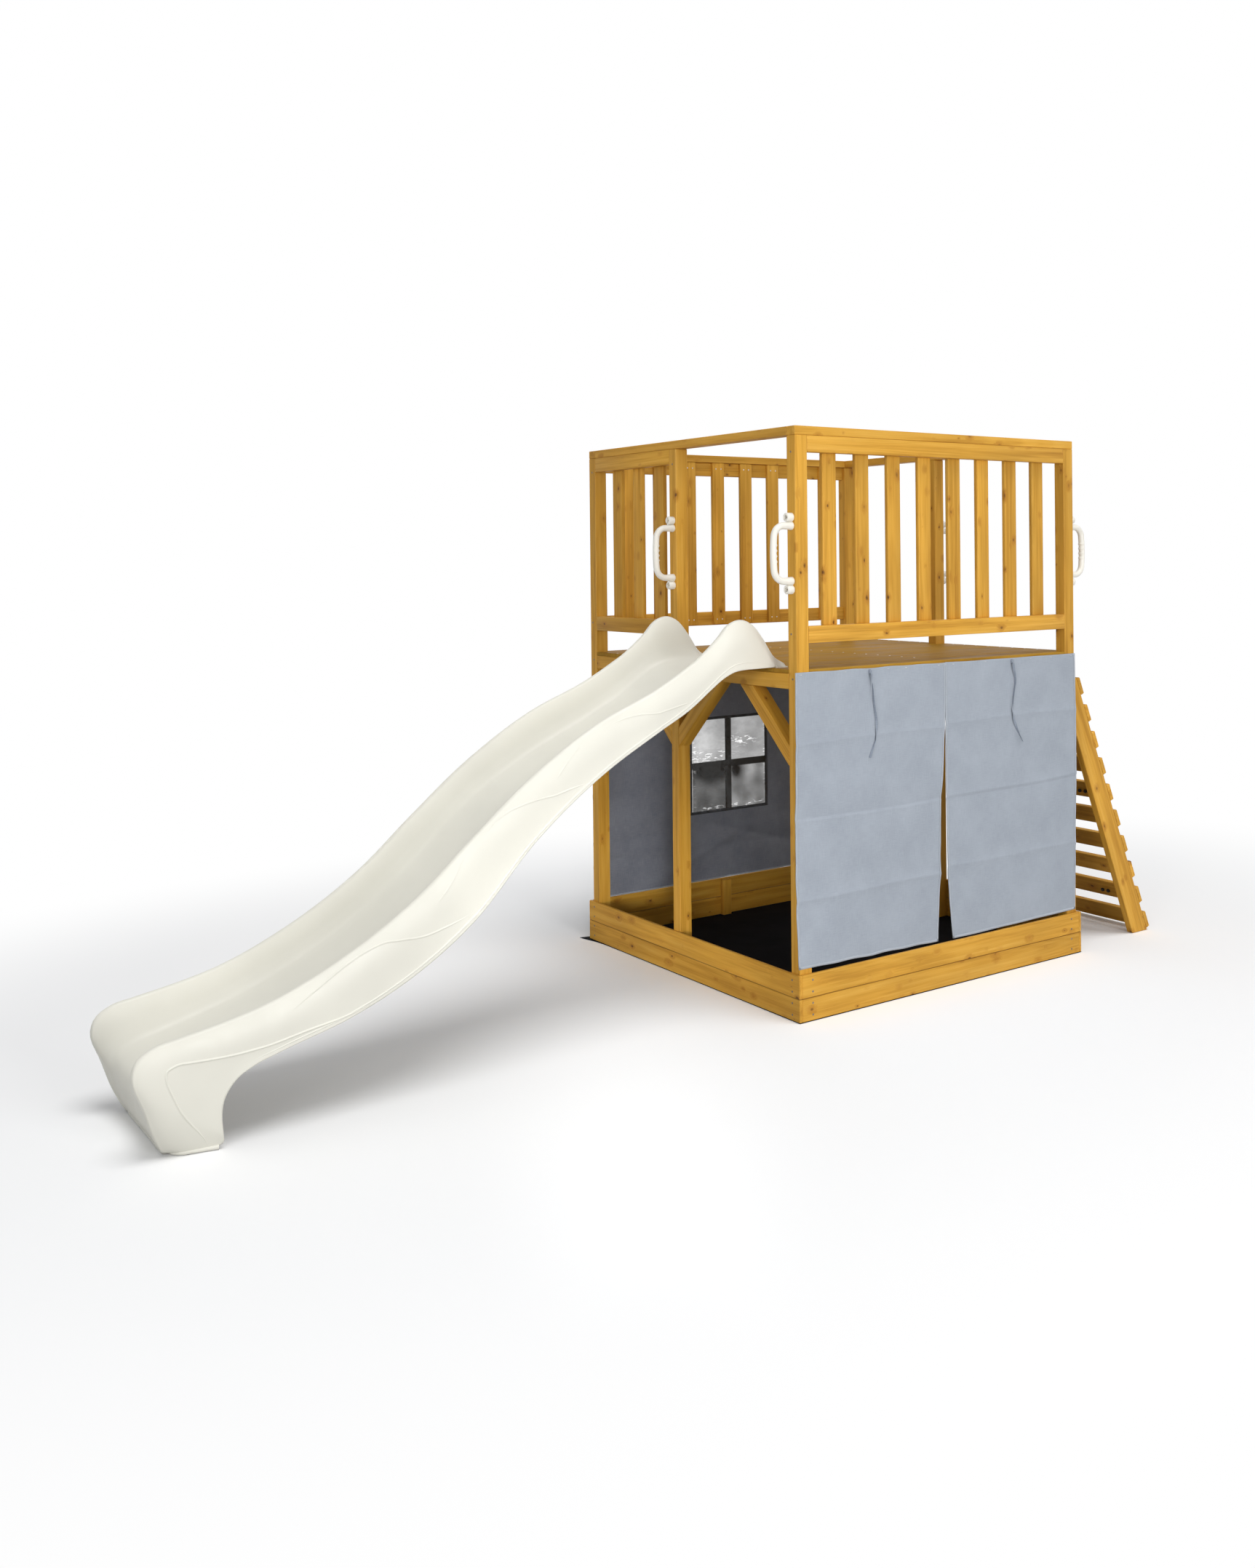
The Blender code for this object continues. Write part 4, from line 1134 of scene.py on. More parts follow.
def handleGrip(values):
    # a round profile carried out of the post, round a corner, along and back, its inner side in even bumps
    reach = values["reach"] - values["gripDiameter"] / 2
    corner = values["corner"]
    angle = np.radians(np.linspace(0, 90, 9))
    bendX = reach - corner * (1 - np.sin(angle))
    bend = np.column_stack([bendX, corner * (1 - np.cos(angle)) - values["legZ"]])
    leg = np.column_stack([np.linspace(0.0, reach - corner, 4)[:-1], np.full(3, -values["legZ"])])
    lower = np.concatenate([leg, bend])
    line = smoothAlong(np.concatenate([lower, lower[::-1] * (1.0, -1.0)]), values["samples"])
    path = np.column_stack([line[:, 0], np.zeros(len(line)), line[:, 1]])
    beside = np.tile([0.0, 1.0, 0.0], (len(path), 1))
    inner = np.cross(directions(path), beside)
    turn = np.linspace(0, math.tau, values["ringPoints"], endpoint=False)
    within = np.clip(1 - (np.abs(path[:, 2]) / (values["bumpLength"] / 2)) ** 10, 0, 1)
    wave = np.abs(np.cos(math.pi * values["bumps"] * (path[:, 2] / values["bumpLength"] + 0.5)))
    facing = np.clip(-inner[:, 0:1] * np.cos(turn), 0, 1) ** 1.2
    flare = values["flare"] * np.exp(-(path[:, 0] / values["flareLength"]) ** 2)
    radius = values["gripDiameter"] / 2 + flare[:, None] + np.zeros(len(turn))
    radius += values["bumpHeight"] * (within * (0.75 - wave))[:, None] * facing
    ring = np.stack([radius * np.cos(turn), radius * np.sin(turn)], axis=-1)
    return ringTube(path, ring, inner, beside)


def turnedSurface(profile, segments):
    # a profile of radius and height turned about X
    profile = np.asarray(profile, float)
    turn = np.linspace(0, math.tau, segments, endpoint=False)
    x = np.broadcast_to(profile[:, 1:2], (len(profile), segments))
    return np.stack([x, profile[:, 0:1] * np.cos(turn), profile[:, 0:1] * np.sin(turn)], axis=-1)


def makeHandles(values, material):
    radius, length = values["bossDiameter"] / 2, values["bossLength"]
    boss = turnedSurface([
        (radius, 0.0), (radius, length - 0.005), (radius - 0.0012, length - 0.002), (radius - 0.0038, length),
        (radius - 0.0068, length), (radius - 0.0082, length - 0.0015), (radius - 0.0086, length - 0.007),
        (0.0005, length - 0.0075),
    ], values["ringPoints"])
    reach = (values["height"] - values["bossDiameter"]) / 2
    surfaces = [handleGrip(values), boss - (0.0, 0.0, reach), boss + (0.0, 0.0, reach)]
    points, faces = joinSurfaces(surfaces)
    for node in handleNodes:
        place, outward = handlePlace(node)
        words = node.title().split("_")
        newPiece("handle" + words[1] + words[2], points * (outward, outward, 1.0) + place, faces, material,
                 "root", [node], closed=True, sharp=50)


handlePlastic = makeMouldedPlastic("handlePlastic", (0.83, 0.80, 0.72), 0.34, 0.25)
makeHandles(grabHandle, handlePlastic)
print("handles ready")


# Climbing holds: lumpy half domes

holdShape = {
    "width": 0.085,
    "height": 0.062,
    "depth": 0.038,
    "within": (0.92, 0.96),  # its share of that size, across and out, before the lumps
    "waistDepth": 0.42,      # the lower hold narrows at its middle
    "waistReach": 0.013,
    "waistUpper": 0.25,      # the upper hold's share of that
    "lump": 0.056,
    "rings": 26,
    "segments": 40,
    "slot": "hold_plastic",
}
holdNodes = ("climbing_hold_upper", "climbing_hold_lower")


def makeHolds(values, material):
    # a half dome standing out of the ladder, its radius swelling in slow waves and its middle drawn in
    side = np.array([0.0, -1.0, 0.0])
    rise = np.linspace(0.0, math.pi / 2 - 0.02, values["rings"])[:, None]
    turn = np.linspace(0, math.tau, values["segments"], endpoint=False)[None, :]
    flat, tall = values["within"]
    for number, node in enumerate(holdNodes):
        middle = sum(nodeBox(node)) / 2 - ladderOutward * values["depth"] / 2
        x, y = np.cos(turn) * np.cos(rise), np.sin(turn) * np.cos(rise)
        swell = flat * (1 + values["lump"] * bumpy(x, y, 40 + number, 5, 0.4, 1.1))
        a, b = x * values["height"] / 2 * swell, y * values["width"] / 2 * swell
        waist = values["waistDepth"] * np.exp(-(b / values["waistReach"]) ** 2)
        waist *= 1.0 if number else values["waistUpper"]
        c = tall * values["depth"] * np.sin(rise) ** 0.8 * (1 - waist)
        points = middle + a[..., None] * ladderDown + b[..., None] * side + c[..., None] * ladderOutward
        points, faces = joinSurfaces([points])
        words = node.split("_")
        newPiece(f"{words[1]}{words[2]}Grip", points, faces, material, "root", [node],
                 closed=True, sharp=80)


holdPlastic = makeMouldedPlastic("holdPlastic", (0.62, 0.34, 0.075), 0.5, 0.9)
makeHolds(holdShape, holdPlastic)
print("holds ready")


# Curtains: two hanging sheets with storage creases

curtainCloth = {
    **hungCloth,
    "hem": 0.010,
    "sideWave": 0.0008,      # how far the side edges and the lower edge waver
    "lowerWave": 0.0010,
    "folds": (0.30, 0.10, 0.42),         # shares of the slow wave, the finer one and the creases
    "columns": 170,
    "rows": 220,
    "seeds": {"left": 11, "right": 23},
}
# How each side edge hangs, from the top down as Z and X from the tower's middle
curtainEdges = {
    "left": {
        "leftEdge": [
            (1.191, -0.7355), (1.010, -0.7388), (0.700, -0.7425), (0.430, -0.7440), (0.290, -0.7395),
            (0.181, -0.7340),
        ],
        "rightEdge": [
            (1.191, -0.0112), (1.107, -0.0115), (1.040, -0.0128), (0.950, -0.0192), (0.810, -0.0263),
            (0.680, -0.0397), (0.540, -0.0454), (0.400, -0.0472), (0.310, -0.0548), (0.240, -0.0597),
            (0.171, -0.0608),
        ],
    },
    "right": {
        "leftEdge": [
            (1.191, -0.0108), (1.107, -0.0112), (0.950, -0.0136), (0.800, -0.0140), (0.680, -0.0135),
            (0.540, -0.0115), (0.390, -0.0088), (0.230, 0.0056), (0.168, 0.0130),
        ],
        "rightEdge": [(1.191, 0.7240), (0.870, 0.7242), (0.600, 0.7177), (0.300, 0.7123), (0.1745, 0.7108)],
    },
}
clothOutside = clothMaterial("clothOutside", (0.358, 0.393, 0.444), (0.281, 0.312, 0.358), 0.82)
clothInside = clothMaterial("clothInside", (0.285, 0.300, 0.345), (0.170, 0.180, 0.215), 0.50)
# the hems are the cloth folded over, coloured paler: a painted highlight along the edges
hemHighlightMaterial = clothMaterial("hemPaintedHighlight", (0.41, 0.445, 0.49), (0.32, 0.35, 0.395), 0.85)


def creases(u, v, lines):
    # each crease is a kink: the cloth tilts one way above its line and the other way below, less further off
    total = np.zeros_like(u)
    for place, slope, wave, depth, reach, upright in lines:
        across, down = (v, u) if upright else (u, v)
        distance = down - place - slope * (across - 0.5) - wave * np.sin(5.0 * across + 9.0 * place)
        total += depth * np.exp(-np.abs(distance) / reach)
    return total


# each crease: its place down or across, its slope, its wave, its depth, its reach and whether it is upright
curtainCreases = {
    "left": [
        (0.236, -0.012, 0.0030, 1.2, 0.016, False), (0.493, -0.014, 0.0035, -1.9, 0.018, False),
        (0.500, -0.013, 0.0030, 1.2, 0.010, False), (0.764, -0.007, 0.0040, 1.6, 0.016, False),
        (0.500, 0.010, 0.003, 0.55, 0.030, True), (0.250, 0.010, 0.003, 0.4, 0.030, True),
        (0.750, 0.010, 0.003, 0.3, 0.030, True),
    ],
    "right": [
        (0.217, -0.002, 0.0030, 1.2, 0.016, False), (0.477, -0.020, 0.0040, 1.9, 0.018, False),
        (0.486, -0.020, 0.0040, -1.2, 0.010, False), (0.736, 0.010, 0.0040, 1.4, 0.016, False),
        (0.480, 0.010, 0.003, 0.6, 0.030, True), (0.740, 0.010, 0.003, 0.4, 0.030, True),
        (0.250, 0.010, 0.003, 0.3, 0.030, True),
    ],
}


def hangingEdge(edge, rows):
    # X and Z down a side edge, smooth through its points and even in Z
    edge = np.array(edge)
    z = np.linspace(edge[0, 0], edge[-1, 0], rows)
    return resample(edge[:, 1:], edge[0, 0] - edge[:, 0], edge[0, 0] - z)[:, 0], z


def makeCurtain(side, values, materials):
    # a sheet between two hanging edges; its stand-off is a slow wave plus the creases, nil at the stapled top
    edges, seed, body = curtainEdges[side], values["seeds"][side], f"{side}_curtain"
    leftX, leftZ = hangingEdge(edges["leftEdge"], values["rows"])
    rightX, rightZ = hangingEdge(edges["rightEdge"], values["rows"])
    v, u = np.meshgrid(np.linspace(0, 1, values["rows"]), np.linspace(0, 1, values["columns"]), indexing="ij")
    fade = np.minimum(1.0, 6 * v)
    edge = np.abs(2 * u - 1) ** 10
    x = leftX[:, None] * (1 - u) + rightX[:, None] * u + towerX
    x += values["sideWave"] * edge * bumpy(v * 0, v, seed + 3, 5, 4.0, 12.0) * np.clip(5 * v - 0.5, 0, 1)
    z = leftZ[:, None] * (1 - u) + rightZ[:, None] * u
    z += values["lowerWave"] * bumpy(u, u * 0, seed + 4, 5, 1.0, 5.0) * (1 - fade + v)
    broad, finer, creased = values["folds"]
    slow = 0.5 + broad * bumpy(u, v, seed, 6, 0.4, 1.4) + finer * bumpy(u, v, seed + 7, 7, 2.0, 5.0)
    crease = creases(u, v, curtainCreases[side])
    stand = values["foldDepth"] * np.clip(slow + creased * crease, 0.0, 1.9) * fade
    y = towerLow[1] - values["clearance"] - stand
    points = np.stack([x, y, z], axis=-1)
    width, height = rightX[0] - leftX[0], leftZ[0] - (leftZ[-1] + rightZ[-1]) / 2
    uv = np.stack([u * width, -v * height], axis=-1)
    faces = gridFaces(*points.shape[:2], flip=True)
    curtain = newPiece(f"curtain{side.capitalize()}", points, faces, materials, body,
                       [f"curtain_{side}"], uv=uv, sharp=80)
    giveThickness(curtain, values["thickness"], -1.0, 1)
    hems = makeHems(f"hem{side.capitalize()}", points, values, body)


def makeHems(name, points, values, body):
    # narrow strips along the sides and the lower edge, lying on the outer face; their paler colour is a
    # painted highlight
    wide = max(2, round(values["hem"] / np.linalg.norm(points[0, 1] - points[0, 0])))
    tall = max(2, round(values["hem"] / np.linalg.norm(points[1, 0] - points[0, 0])))
    lifted = points - (0.0, values["hemLift"], 0.0)
    strips, faces = [], []
    start = 0
    for strip in (lifted[:, :wide + 1], lifted[:, -wide - 1:], lifted[-tall - 1:]):
        faces += (gridFaces(*strip.shape[:2], flip=True) + start).tolist()
        strips.append(strip.reshape(-1, 3))
        start += len(strips[-1])
    strips = np.concatenate(strips)
    hems = newPiece(name, strips, faces, hemHighlightMaterial, body, uv=strips[:, [0, 2]], sharp=80)
    giveThickness(hems, values["hemThickness"], 1.0)
    return hems


for side in ("left", "right"):
    makeCurtain(side, curtainCloth, [clothOutside, clothInside])
print("curtains ready")


# Back wall: one fixed sheet with four window holes

backWall = {
    **hungCloth,
    "inset": 0.008,          # its sides, in from the posts' outer faces
    "top": 1.191,
    "bottom": 0.163,
    "windowX": (-0.205, -0.020, 0.009, 0.208),
    "windowZ": (0.470, 0.657, 0.684, 0.870),
    "cell": 0.009,
    "folds": (0.28, 0.5),    # shares of the slow wave and the creases
    "calm": (0.30, 0.28),    # round the window the folds lie flatter, this far across and up, and by how much
    "calmShare": 0.8,
    "below": 0.10,           # under the window they stand out more, in full this far down, and by how much
    "belowShare": 1.1,
    "hem": 0.006,
    "creases": [
        (0.60, 0.03, 0.012, 1.1, 0.02, False), (0.76, -0.02, 0.010, 0.9, 0.02, False),
        (0.87, 0.02, 0.012, 0.7, 0.02, False), (0.79, 0.42, 0.010, 1.7, 0.026, False),
        (0.83, -0.50, 0.010, -1.5, 0.024, False), (0.30, 0.02, 0.004, 0.7, 0.03, True),
        (0.56, -0.10, 0.010, 0.9, 0.02, True), (0.66, 0.16, 0.010, 0.9, 0.02, True),
        (0.80, 0.02, 0.006, 0.7, 0.03, True),
    ],
}


def stopsWith(stops, cell):
    # even steps between each pair of stops, about a cell long
    runs = [np.linspace(a, b, max(2, round((b - a) / cell)), endpoint=False)
            for a, b in zip(stops, stops[1:])]
    return np.concatenate(runs + [[stops[-1]]])


def makeBackWall(values, materials):
    # the sheet is a grid with a line on each side of its window panes, whose cells are left out
    windowX, windowZ = values["windowX"], values["windowZ"]
    outer = towerHalf[0] - values["inset"]
    xs = stopsWith((-outer, *windowX, outer), values["cell"])
    zs = stopsWith((values["bottom"], *windowZ, values["top"]), values["cell"])
    z, x = np.meshgrid(zs, xs, indexing="ij")
    width, height = 2 * outer, values["top"] - values["bottom"]
    u, v = (x + outer) / width, (values["top"] - z) / height
    fade = np.minimum(1.0, 6 * v)
    awayX = (x - (windowX[0] + windowX[-1]) / 2) / values["calm"][0]
    awayZ = (z - (windowZ[0] + windowZ[-1]) / 2) / values["calm"][1]
    nearWindow = np.exp(-(awayX**4 + awayZ**4))
    belowWindow = np.clip((windowZ[0] - z) / values["below"], 0.0, 1.0)
    broad, creased = values["folds"]
    folds = 0.5 + broad * bumpy(u, v, 61, 6, 0.6, 2.0) + creased * creases(u, v, values["creases"])
    stand = values["foldDepth"] * np.clip(folds, 0.0, 1.8) * fade
    stand *= (1 - values["calmShare"] * nearWindow) * (1 + values["belowShare"] * belowWindow)
    y = towerHigh[1] + values["clearance"] + stand
    points = np.stack([x + towerX, y, z], axis=-1)
    faces = gridFaces(*points.shape[:2])
    centre = points.reshape(-1, 3)[faces].mean(axis=1)
    inColumn = np.searchsorted(windowX, centre[:, 0] - towerX) % 2 == 1
    inRow = np.searchsorted(windowZ, centre[:, 2]) % 2 == 1
    faces = faces[~(inColumn & inRow)]
    used = np.unique(faces)
    number = np.full(points.size // 3, -1)
    number[used] = np.arange(len(used))
    uv = np.stack([x, z], axis=-1).reshape(-1, 2)[used]
    wall = newPiece("backWall", points.reshape(-1, 3)[used], number[faces][:, ::-1], materials, "root",
                    ["back_wall"], uv=uv, sharp=80)
    giveThickness(wall, values["thickness"], -1.0, 1)
    # the lower hem on the inside, paler than the cloth: a painted highlight
    hem = points[:2] - (0.0, values["thickness"] + values["hemLift"], 0.0)
    hem[1, :, 2] = hem[0, :, 2] + values["hem"]
    strip = newPiece("hemBack", hem, gridFaces(*hem.shape[:2]), hemHighlightMaterial, "root",
                     uv=hem[..., [0, 2]], sharp=80)
    giveThickness(strip, values["hemThickness"], 1.0)


makeBackWall(backWall, [clothOutside, clothInside])
print("back wall ready")


# Window: one clear flexible panel, crumpled at its sewn edges

windowFilm = {
    "cell": 0.0036,
    "crumple": 0.00066,
    "thickness": 0.0005,
    "marginClear": 0.62,     # how clear the sewn margin behind the wall is
    "paneSplit": (-0.005, 0.670),
    "splitBlur": 0.004,
    # each pane: whether it is right and upper, how clear it is, its mottle with seed and turns, and its
    # spots; the lower panes' lesser clearness and their dark spots are painted shade and reflection
    "panes": [
        (False, True, 0.64, (0.07, 73, 1.0, 3.0), []),
        (True, True, 0.60, (0.07, 73, 1.0, 3.0), []),
        (False, False, 0.30, (0.05, 74, 2.0, 5.0), [(-0.33, -0.105, 0.645, 0.12, 0.045)]),
        (True, False, 0.43, (0.08, 75, 2.0, 5.0), [
            (-0.60, 0.035, 0.640, 0.022, 0.030), (0.12, 0.12, 0.610, 0.05, 0.03),
        ]),
    ],
    # painted highlights of the creases; a spot is its strength, its place across and up, and its half width
    # and height
    "glints": [
        (1.0, -0.11, 0.710, 0.10, 0.020), (1.0, 0.07, 0.770, 0.07, 0.020), (0.8, -0.12, 0.480, 0.10, 0.012),
        (0.8, 0.10, 0.478, 0.12, 0.012), (0.6, -0.195, 0.70, 0.008, 0.15), (0.4, 0.200, 0.70, 0.006, 0.16),
    ],
    "slot": "window_film",
}


def makeFilmMaterial():
    # a dark smoky veil with painted shade and reflection: the attribute clear is how much of what lies behind
    # shows through it, broken up by mottle, and the attribute glint marks painted crease highlights, where
    # more of it shows
    material, tree, shader = newMaterial("windowFilm", {"Roughness": 0.14, "IOR": 1.45})
    place = objectPlace(tree)
    clear, glint = attribute(tree, "clear"), attribute(tree, "glint")
    fine = noise(tree, stretch(tree, place, (26.0, 1.0, 40.0)), detail=3.0)
    streak = noise(tree, stretch(tree, place, (38.0, 1.0, 150.0)))
    mottled = maths(tree, "MULTIPLY", clear, remap(tree, fine, 0.25, 0.75, 0.94, 1.06, smooth=False))
    # painted glints: streaks where the white behind shows through
    glints = maths(tree, "MULTIPLY", glint, remap(tree, streak, 0.57, 0.64, 0.0, 0.6))
    share = maths(tree, "ADD", mottled, glints, clamp=True)
    plug(tree, maths(tree, "SUBTRACT", 1.0, share), shader.inputs["Alpha"])
    colour = mixColours(tree, fine, (0.022, 0.022, 0.020), (0.050, 0.050, 0.045))
    plug(tree, colour, shader.inputs["Base Color"])
    bumpInto(tree, shader, fine, 0.003, 0.5)
    return material


def spots(x, z, rows):
    # the sum of round bells
    return sum(strength * np.exp(-((x - middleX) / wide) ** 2 - ((z - middleZ) / tall) ** 2)
               for strength, middleX, middleZ, wide, tall in rows)


def makeWindow(values):
    # a stretched sheet whose lower edge is puckered by its stitches
    low, high = nodeBox("back_window")
    x, z, u, v = sheetGrid(low, high, 0, 2, values["cell"])
    edge = np.exp(-v / 0.10) + 0.4 * np.exp(-(1 - v) / 0.08)
    wrinkle = 0.5 * bumpy(u, v, 71, 8, 1.0, 4.0) + edge * bumpy(u, v * 0.3, 72, 8, 6.0, 14.0)
    y = (low[1] + high[1]) / 2 - 0.0002 + values["crumple"] * np.clip(wrinkle, -1.4, 1.0)
    across = x - towerX
    isRight = 1 / (1 + np.exp(-(across - values["paneSplit"][0]) / values["splitBlur"]))
    isUpper = 1 / (1 + np.exp(-(z - values["paneSplit"][1]) / values["splitBlur"]))
    clear = np.zeros_like(z)
    # each pane's clearness and dark spots paint the shade and reflections seen in the film
    for right, upper, mean, (mottle, seed, least, most), rows in values["panes"]:
        pane = (isRight if right else 1 - isRight) * (isUpper if upper else 1 - isUpper)
        clear += pane * (mean + mottle * bumpy(u, v, seed, 6, least, most) + spots(across, z, rows))
    columns, rows = backWall["windowX"], backWall["windowZ"]
    # over the bars the film is opaque and dark: painted shade
    bars = ((across > columns[1]) & (across < columns[2])) | ((z > rows[1]) & (z < rows[2]))
    inside = (across > columns[0]) & (across < columns[3]) & (z > rows[0]) & (z < rows[3])
    clear = np.where(inside, np.where(bars, 0.0, np.clip(clear, 0.01, 0.9)), values["marginClear"])
    # where the painted crease highlights lie
    glint = np.clip(spots(across, z, values["glints"]), 0, 1)
    points = np.stack([x, y, z], axis=-1)
    attributes = {"clear": clear.ravel(), "glint": glint.ravel()}
    film = newPiece("windowFilm", points, gridFaces(*points.shape[:2]), makeFilmMaterial(), "root",
                    ["back_window"], attributes=attributes, sharp=80)
    giveThickness(film, values["thickness"], 0.0)


makeWindow(windowFilm)
print("window ready")


# Ground sheet: black mat under the frame, one corner lying outside it

groundMat = {
    "cell": 0.014,
    "ripple": 0.0022,
    "cornerReach": (-0.026, 0.036),      # how far the loose corner lies outside the frame, along X and Y
    "cornerShare": 0.045,                # how much of the sheet the corner takes with it
    "lift": 0.0004,
    "thickness": 0.0008,
    "slot": "ground_sheet",
}


def makeGroundSheet(values):
    # a flat sheet with slow ripples, one corner drawn outwards
    material = clothMaterial("weedMat", (0.012, 0.012, 0.014), (0.004, 0.004, 0.005), 0.9, sheen=0.0,
                             gloss=0.08)
    low, high = nodeBox("ground_sheet")
    x, y, u, v = sheetGrid(low, high, 0, 1, values["cell"])
    inside = np.clip(12 * u * (1 - u), 0, 1) * np.clip(12 * v * (1 - v), 0, 1)
    ripple = values["ripple"] * (1 + bumpy(u, v, 81, 9, 1.5, 6.0)) * inside
    corner = np.exp(-(u / values["cornerShare"]) ** 1.6) * np.exp(-((1 - v) / values["cornerShare"]) ** 1.6)
    x, y = x + values["cornerReach"][0] * corner, y + values["cornerReach"][1] * corner
    z = low[2] + values["lift"] + np.clip(ripple, 0, 2 * values["ripple"])
    points = np.stack([x, y, z], axis=-1)
    sheet = newPiece("groundSheet", points, gridFaces(*points.shape[:2]), material, "root",
                     ["ground_sheet"], uv=points[..., :2], sharp=80)
    giveThickness(sheet, values["thickness"], 1.0)


makeGroundSheet(groundMat)
print("ground sheet ready")


# Fasteners: screw heads, staples and bolts, each kind on a body as one mesh

fasteners = {
    # each kind: half the length and half the width of its head, and its rise
    "screw": (0.0040, 0.0040, 0.0008),
    "pin": (0.0030, 0.0030, 0.0008),
    "handleScrew": (0.0040, 0.0040, 0.0020),
    "nut": (0.0085, 0.0085, 0.0060),
    "staple": (0.0060, 0.0009, 0.0008),
    "knot": (0.0060, 0.0090, 0.0060),
    "frontInset": 0.046,     # from a base board's end
    "sideInset": 0.039,
    "baseHeights": (0.022, 0.062, 0.101, 0.141),
    "postHeights": (1.168, 1.322, 1.945),
    "postShift": 0.006,      # every second screw of a post lies this far aside
    "slatInset": 0.026,      # from the rails' outer edges
    "slatPair": 0.014,       # half the distance between the two pins of a pair, and so on
    "treadInset": 0.020,
    "treadPair": 0.020,
    "treadHalf": 0.009,      # half a tread's thickness
    "capInset": 0.030,
    "capPair": 0.011,
    "deckInset": 0.024,
    "deckMiddle": 0.725,     # the second line of deck screws, from the slide's side
    "deckClear": 0.035,      # no deck screw lies this near the middle post
    "nutPair": 0.014,
    "nutBehind": 0.0185,
    "handleSunk": 0.0075,
    "stapleOut": 0.0009,
    "stapleZ": 1.1835,
    "staplesLeft": (-0.7125, -0.509, -0.300, -0.2115, -0.0442),
    "staplesRight": (0.030, 0.2054, 0.4604, 0.580, 0.700),
    "knotOut": 0.0005,
    "knotUp": 0.006,
}


def makeMetal(name, colour, roughness):
    # cut wire or a zinc head: tiny pits in roughness, dull spots in colour
    material, tree, shader = newMaterial(name, {"Metallic": 0.85})
    pits = noise(tree, objectPlace(tree), 260.0)
    dull = tuple(0.55 * value for value in colour)
    plug(tree, mixColours(tree, remap(tree, pits, 0.35, 0.65), dull, colour), shader.inputs["Base Color"])
    plug(tree, remap(tree, pits, 0.3, 0.7, roughness, roughness + 0.2), shader.inputs["Roughness"])
    return material


def studField(name, places, outward, size, material, body="root", along=(0.0, 0.0, 1.0), segments=10):
    # each stud is four oval rings over its place, the last two closing a low dome; all studs in one array
    long, wide, rise = size
    places = np.asarray(places, float).reshape(-1, 3)
    outward = np.broadcast_to(np.asarray(outward, float), places.shape)
    first = np.cross(outward, np.broadcast_to(np.asarray(along, float), places.shape))
    first /= np.linalg.norm(first, axis=1, keepdims=True)
    second = np.cross(outward, first)
    turn = np.linspace(0, math.tau, segments, endpoint=False)
    share = np.array([1.0, 1.0, 0.72, 0.10])
    lift = np.array([-0.0004, 0.45 * rise, rise, 0.92 * rise])[None, :, None, None]
    x = (share[:, None] * np.cos(turn) * long)[None, ..., None]
    y = (share[:, None] * np.sin(turn) * wide)[None, ..., None]
    points = (places[:, None, None] + x * first[:, None, None] + y * second[:, None, None]
              + lift * outward[:, None, None])
    points, faces = joinSurfaces(list(points))
    newPiece(name, points, faces, material, body, closed=True, sharp=40)


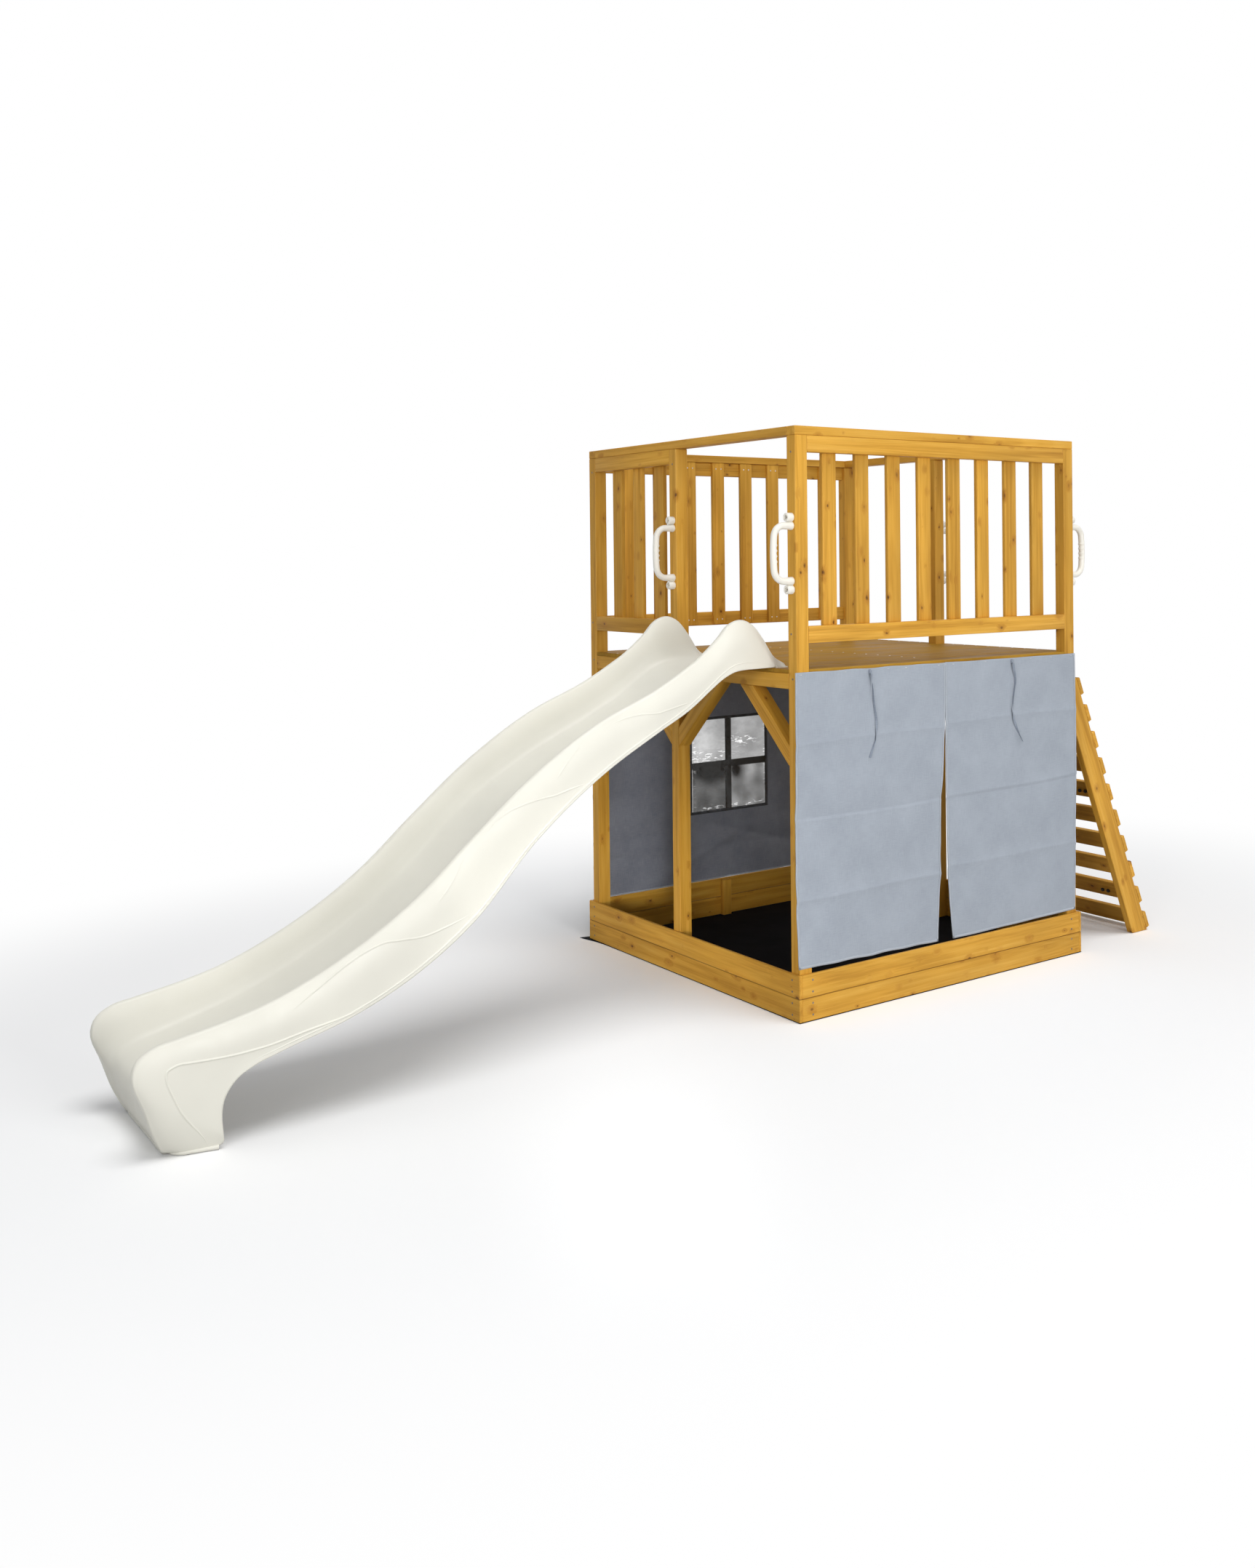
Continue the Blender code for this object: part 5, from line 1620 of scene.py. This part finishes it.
def makeFasteners(values):
    steel = makeMetal("screwSteel", (0.30, 0.25, 0.18), 0.45)
    zinc = makeMetal("paleZinc", (0.80, 0.79, 0.75), 0.35)
    black = makeMetal("blackBolt", (0.05, 0.05, 0.05), 0.5)
    screw, levels = values["screw"], values["baseHeights"]
    front, back = nodeBox("base_front_lower"), nodeBox("base_back_lower")
    slideSide, ladderSide = nodeBox("base_slide_side_lower"), nodeBox("base_ladder_side_lower")
    ends = (front[0][0] + values["frontInset"], front[1][0] - values["frontInset"])
    for label, y, outward in (("Front", front[0][1], -1), ("Back", back[1][1], 1)):
        places = [(x, y, z) for x in ends for z in levels]
        studField(f"screwsBase{label}", places, (0, outward, 0), screw, steel)
    ends = (front[0][1] + values["sideInset"], back[1][1] - values["sideInset"])
    for label, x, outward in (("Slide", slideSide[0][0], -1), ("Ladder", ladderSide[1][0], 1)):
        places = [(x, y, z) for y in ends for z in levels]
        studField(f"screwsBase{label}", places, (outward, 0, 0), screw, steel)
    for side, face, outward in (("slide", 0, -1), ("ladder", 1, 1)):
        places = []
        for post in ("back", "middle", "front"):
            box = nodeBox(f"post_{side}_{post}")
            places += [(box[face][0], (box[0][1] + box[1][1]) / 2 + values["postShift"] * (i % 2), z)
                       for i, z in enumerate(values["postHeights"])]
        studField(f"screwsPosts{side.capitalize()}", places, (outward, 0, 0), screw, steel)
    count, wide, pair = railing["longSlats"], railing["slatWidth"], values["slatPair"]
    for label, face, outward in (("Front", 1, 1), ("Back", 0, -1)):
        low, high = box = nodeBox(f"balustrade_{label.lower()}")
        space = (high[0] - low[0] - count * wide) / (count + 1)
        middles = low[0] + (space + wide) * np.arange(1, count + 1) - wide / 2
        places = [(x + dx, box[face][1], z) for x in middles for dx in (-pair, pair)
                  for z in (low[2] + values["slatInset"], high[2] - values["slatInset"])]
        studField(f"screwsSlats{label}", places, (0, outward, 0), values["pin"], zinc)
    places = []
    for node in ("cap_front", "cap_back"):
        low, high = nodeBox(node)
        places += [(x, (low[1] + high[1]) / 2 + dy, high[2]) for dy in (-values["capPair"], values["capPair"])
                   for x in (low[0] + values["capInset"], high[0] - values["capInset"])]
    studField("screwsCaps", places, (0, 0, 1), screw, steel, along=(1.0, 0.0, 0.0))
    low, high = nodeBox("deck")
    count, post = deckBoards["count"], deckBoards["middlePostY"]
    lines = [low[0] + values["deckInset"], low[0] + values["deckMiddle"], high[0] - values["deckInset"]]
    rows = low[1] + (high[1] - low[1]) / count * (np.arange(count)[1:-1, None] + np.array([0.25, 0.75]))
    places = [(x, y, high[2]) for x in lines for y in rows.ravel()
              if x != lines[-1] or abs(y - post) >= values["deckClear"]]
    studField("screwsDeck", places, (0, 0, 1), screw, zinc, along=(1.0, 0.0, 0.0))
    places = []
    pair, inset = values["treadPair"], values["treadInset"]
    for number in range(1, 11):
        low, high = nodeBox(f"ladder_tread_{number:02d}")
        middle = ((low + high) / 2 + ladderOutward * values["treadHalf"]) * (1.0, 0.0, 1.0)
        places += [middle + (0.0, y, 0.0) + ladderDown * shift for shift in (-pair, pair)
                   for y in (low[1] + inset, high[1] - inset)]
    studField("screwsTreads", places, ladderOutward, screw, steel, along=(0.0, 1.0, 0.0))
    behind = ladderOutward * (holdShape["depth"] / 2 + values["nutBehind"])
    places = [sum(nodeBox(node)) / 2 - behind + (0.0, dy, 0.0) for node in holdNodes
              for dy in (-values["nutPair"], values["nutPair"])]
    studField("holdNuts", places, -ladderOutward, values["nut"], black, along=(0.0, 1.0, 0.0), segments=6)
    reach = (grabHandle["height"] - grabHandle["bossDiameter"]) / 2
    for side, nodesThere in (("Slide", handleNodes[:2]), ("Ladder", handleNodes[2:])):
        places = []
        for node in nodesThere:
            place, outward = handlePlace(node)
            head = place + (outward * (grabHandle["bossLength"] - values["handleSunk"]), 0.0, 0.0)
            places += [head - (0.0, 0.0, reach), head + (0.0, 0.0, reach)]
        studField(f"screwsHandles{side}", places, (outward, 0, 0), values["handleScrew"], steel)
    y = towerLow[1] - curtainCloth["clearance"] - values["stapleOut"]
    for side in ("left", "right"):
        label, body = side.capitalize(), f"{side}_curtain"
        places = [(towerX + x, y, values["stapleZ"]) for x in values[f"staples{label}"]]
        studField(f"staples{label}", places, (0, -1, 0), values["staple"], zinc, body)
        x, z = tieRoutes[side][0]
        places = [(towerX + x, y - values["knotOut"], z + values["knotUp"])]
        # the knot is the tape, in the tape's painted shade
        studField(f"tieKnot{label}", places, (0, -1, 0), values["knot"], shadedTapeMaterial, body, segments=14)


makeFasteners(fasteners)
print("fasteners ready")
